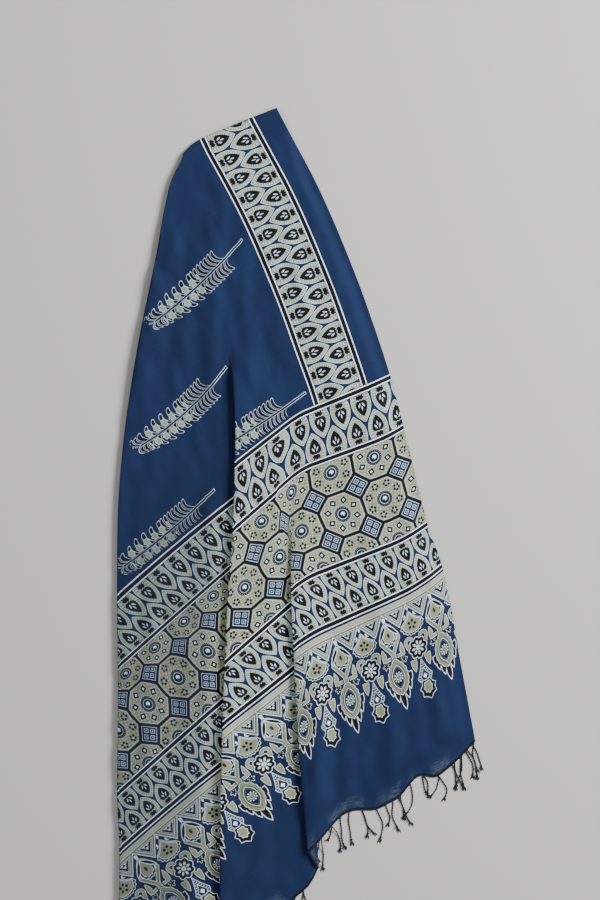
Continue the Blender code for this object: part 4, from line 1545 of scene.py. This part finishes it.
def strand_tubes(root, strand, phase):
    """The two plies of a strand, its knot, and the brush at its end, as paths, radii and tints."""
    t = np.linspace(0, 1, STRAND_RINGS)
    swing = strand.bow * MM * np.sin(np.pi * t) + 0.5 * MM * np.sin(9 * t + phase)
    path = np.empty((STRAND_RINGS, 3))
    path[:, 0] = root[0] + strand.tip_x * MM * t + swing
    path[:, 1] = root[1] + strand.tip_y * MM * t
    rest = 2.1 * PLY_RADIUS
    path[:, 2] = rest + max(root[2] - rest, 0) * (1 - smooth(t / STRAND_FALL))
    run = summed(np.linalg.norm(np.diff(path, axis=0), axis=1))
    knot = np.exp(-(((t - BRUSH_START) / KNOT_LENGTH) ** 2))
    path[:, 2] += KNOT_LIFT * knot
    shaft = t <= BRUSH_START + KNOT_LENGTH
    tubes = []
    for side in (0, 1):
        angle = 2 * np.pi * run / PLY_TURN + side * np.pi + phase
        circling = np.stack([np.cos(angle), 0 * angle, np.sin(angle)], 1)
        plies = path + circling * (PLY_RADIUS * (0.9 + 0.5 * knot))[:, None]
        tubes.append((plies[shaft], (PLY_RADIUS * (1 + 1.5 * knot))[shaft], 0.0))
    brush = t >= BRUSH_START
    share = (t[brush] - BRUSH_START) / (1 - BRUSH_START)
    for number in range(BRUSH_FIBRES):
        lean = (number / (BRUSH_FIBRES - 1) - 0.5) * BRUSH_WIDTH
        fibre = path[brush].copy()
        fibre[:, 0] += lean * smooth(share * 1.2) + 0.3 * MM * np.sin(7 * share + number)
        fibre[:, 1] += 1.2 * MM * share * math.cos(2.1 * number + phase)
        fibre[:, 2] = np.maximum(fibre[:, 2] - KNOT_LIFT * share, FIBRE_FLOOR)
        tubes.append((fibre, FIBRE_RADIUS - 0.2 * MM * share, 1.0))
    return tubes


def build_fringe(shift):
    row, _ = front_row(-FRINGE_PARTED, under_outline())
    line = table_at(WEFT_LINES, -FRINGE_PARTED)
    starts = shown_stations(line)[3]
    shown = row[: starts[5]]
    panels = [shown[: starts[1]], shown[starts[2] : starts[3]], shown[starts[4] :]]
    tubes = [(shown, np.full(starts[5], ROOT_RADIUS), 0.0)]
    for number, strand in enumerate(SHOWN_STRANDS + swung_strands(table_at(WEFT_LINES, 0.0))):
        x = strand.root_x * MM
        panel = panels[0] if x > line.valley_x else panels[1] if x > line.fold_x else panels[2]
        order = panel[::-1]
        root = (x, *(np.interp(x, order[:, 0], order[:, way]) for way in (1, 2)))
        tubes += strand_tubes(root, strand, STRAND_PHASE * number)
    points, faces, tints, total = [], [], [], 0
    for path, radii, tint in tubes:
        made, quads = tube(path, radii, total)
        points.append(made)
        faces.append(quads)
        tints.append(np.full(quads.size, tint))
        total += len(made)
    fringe = mesh_object("knotted_fringe", np.concatenate(points) + shift, np.concatenate(faces))
    tint = np.concatenate(tints)
    add_uv(fringe, "tint", np.stack([tint, 0 * tint], 1))
    fringe.data.materials.append(yarn_material())
    return fringe


def panel_columns():
    """First and last column of faces of each shown panel, from the right."""
    starts = shown_stations(table_at(WEFT_LINES, 0.0))[3]
    return [(0, starts[1]), (starts[2] - 1, starts[3]), (starts[4] - 1, starts[5] - 1)]


def feather_place(feather, x, y):
    """Place along a feather's shaft and aside of it."""
    way = np.array([feather.tip_x - feather.stem_x, feather.tip_y - feather.stem_y], float)
    reach = np.linalg.norm(way)
    way /= reach
    along = (x - feather.stem_x) * way[0] + (y - feather.stem_y) * way[1]
    aside = (y - feather.stem_y) * way[0] - (x - feather.stem_x) * way[1]
    share = np.clip(along / reach, 0, 1)
    return along * FEATHER_LENGTH / reach, aside - feather.bow * 4 * share * (1 - share)


def feather_faces(points, faces, shape):
    """The feather over each face, or -1, and the feather's own place at the face's corners."""
    rows, columns = shape[0] - 1, shape[1] - 1
    column = np.tile(np.arange(columns), rows)
    shown = np.repeat(np.arange(rows), columns) < rows - TURN_ROWS - BACK_ROWS
    corner = points[faces] / MM
    middle = corner.mean(1)
    panels = panel_columns()
    which = np.full(len(faces), -1)
    own = np.zeros((len(faces), 4, 2))
    for number, feather in enumerate(FEATHERS):
        along, aside = feather_place(feather, middle[:, 0], middle[:, 1])
        over = (along > FEATHER_FROM) & (along < FEATHER_TO) & (np.abs(aside) < FEATHER_ASIDE)
        over &= shown & (column >= panels[feather.first_panel][0]) & (column < panels[feather.last_panel][1])
        which[over] = number
        own[over] = np.stack(feather_place(feather, corner[over, :, 0], corner[over, :, 1]), -1) * MM
    return which, own


def region_of(u, v):
    """The kind of print at each face's middle, as its place in REGIONS."""
    kinds = np.zeros(len(u), int)
    for band in BANDS:
        kinds[(v > band.foot) & (v < band.top)] = REGIONS.index(band.region)
    kinds[(u < BORDER_WIDTH) & (v > LINE_PAIRS[0])] = REGIONS.index("border")
    return kinds


def build_cloth(points, places, shift):
    faces = grid_faces(points.shape)
    sheet = points.reshape(-1, 3)
    print_place = places.reshape(-1, 2)[faces]
    cloth = mesh_object("stole_cloth", sheet + shift, faces)
    add_uv(cloth, "print", print_place)
    which, own = feather_faces(sheet, faces, points.shape)
    add_uv(cloth, "feather", own)
    printed_rows = int((places[: -TURN_ROWS - BACK_ROWS, 0, 1] < FIELD_FOOT * MM - 1e-6).sum())
    add_uv(cloth, "OFBake", bake_map(points, faces, printed_rows))
    for material in build_materials():
        cloth.data.materials.append(material)
    middle = print_place.mean(1) / MM
    kinds = region_of(middle[:, 0], middle[:, 1])
    kinds[(which >= 0) & (kinds == 0)] = REGIONS.index("feather")
    cloth.data.polygons.foreach_set("material_index", kinds.astype(np.int32))
    cloth.data.update()
    return cloth


def bake_steps(lengths):
    """Places from 0 to 1 after each of these lengths in turn."""
    reached = summed(lengths)
    return reached / reached[-1]


def bake_map(points, faces, printed_rows):
    """A map with the printed rows on its left and the plain ones on its right, mostly given to what shows."""
    rows, columns = points.shape[0] - 1, points.shape[1] - 1
    shown_rows = rows - TURN_ROWS - BACK_ROWS
    widths = np.linalg.norm(np.diff(points[: shown_rows + 1], axis=1), axis=2).mean(0)
    heights = np.linalg.norm(np.diff(points, axis=0), axis=2).mean(1)
    in_view = np.zeros(columns, bool)
    for first, last in panel_columns():
        in_view[first:last] = True
    widths = np.maximum(widths, widths.mean() / 4) * np.where(in_view, 1.0, BAKE_HIDDEN)
    heights = np.maximum(heights, heights.mean() / 4)
    heights[shown_rows:] *= BAKE_HIDDEN
    height = np.zeros((2, points.shape[0]))
    height[0, : printed_rows + 1] = bake_steps(heights[:printed_rows])
    height[1, printed_rows:] = bake_steps(heights[printed_rows:])
    below = np.repeat(np.arange(rows) < printed_rows, columns)[:, None]
    row, column = faces // points.shape[1], faces % points.shape[1]
    x = bake_steps(widths)[column]
    x = np.where(below, x * BAKE_SPLIT, BAKE_SPLIT + BAKE_GAP + x * (1 - BAKE_SPLIT - BAKE_GAP))
    y = np.where(below, height[0, row], height[1, row])
    return np.stack([x, y], -1) * (1 - 2 * BAKE_MARGIN) + BAKE_MARGIN


def add_stage():
    bpy.ops.mesh.primitive_plane_add(size=FLOOR_SIZE, location=(0, 0, 0))
    floor = bpy.context.object
    floor.name = "floor"
    paint = bpy.data.materials.new("pale_floor")
    paint.use_nodes = True
    look = {"Base Color": (*FLOOR_GREY, 1), "Roughness": 0.95}
    set_inputs(paint.node_tree.nodes["Principled BSDF"], **look)
    floor.data.materials.append(paint)


def add_lamp(lamp):
    """A round soft light that faces the middle of the floor."""
    data = bpy.data.lights.new(lamp.name, "AREA")
    data.shape = "DISK"
    data.size = lamp.size
    data.energy = lamp.energy
    made = add_object(lamp.name, data)
    made.location = lamp.place
    made.rotation_euler = (-Vector(lamp.place)).to_track_quat("-Z", "Y").to_euler()


def add_camera(shift):
    data = bpy.data.cameras.new("camera")
    data.sensor_fit = "VERTICAL"
    data.sensor_height = SENSOR_HEIGHT
    data.lens = SENSOR_HEIGHT * CAMERA_HEIGHT / FRAME_HEIGHT
    data.clip_end = 50
    camera = add_object("camera", data)
    camera.location = (shift[0], shift[1], CAMERA_HEIGHT + CAMERA_ABOVE)
    bpy.context.scene.camera = camera


def add_world():
    world = bpy.data.worlds.new("soft_studio")
    world.use_nodes = True
    set_inputs(world.node_tree.nodes["Background"], Color=(*SKY_WHITE, 1), Strength=SKY_STRENGTH)
    bpy.context.scene.world = world


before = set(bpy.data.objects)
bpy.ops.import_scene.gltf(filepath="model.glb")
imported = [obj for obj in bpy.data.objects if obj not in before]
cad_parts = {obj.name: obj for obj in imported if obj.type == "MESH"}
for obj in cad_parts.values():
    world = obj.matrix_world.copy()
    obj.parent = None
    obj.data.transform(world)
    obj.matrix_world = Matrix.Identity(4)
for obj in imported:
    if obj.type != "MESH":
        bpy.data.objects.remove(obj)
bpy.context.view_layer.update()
points, places = sheet_grid()
low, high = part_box("cloth")
sheet = points.reshape(-1, 3)
middle = (sheet.min(0) + sheet.max(0)) / 2
shift = np.array([(low[0] + high[0]) / 2 - middle[0], (low[1] + high[1]) / 2 - middle[1], 0])
cloth = build_cloth(points, places, shift)
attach(cloth, "root")
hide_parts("cloth")
fringe = build_fringe(shift)
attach(fringe, "root")
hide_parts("fringe")
add_stage()
add_world()
add_camera(shift)
for lamp in LAMPS:
    add_lamp(lamp)
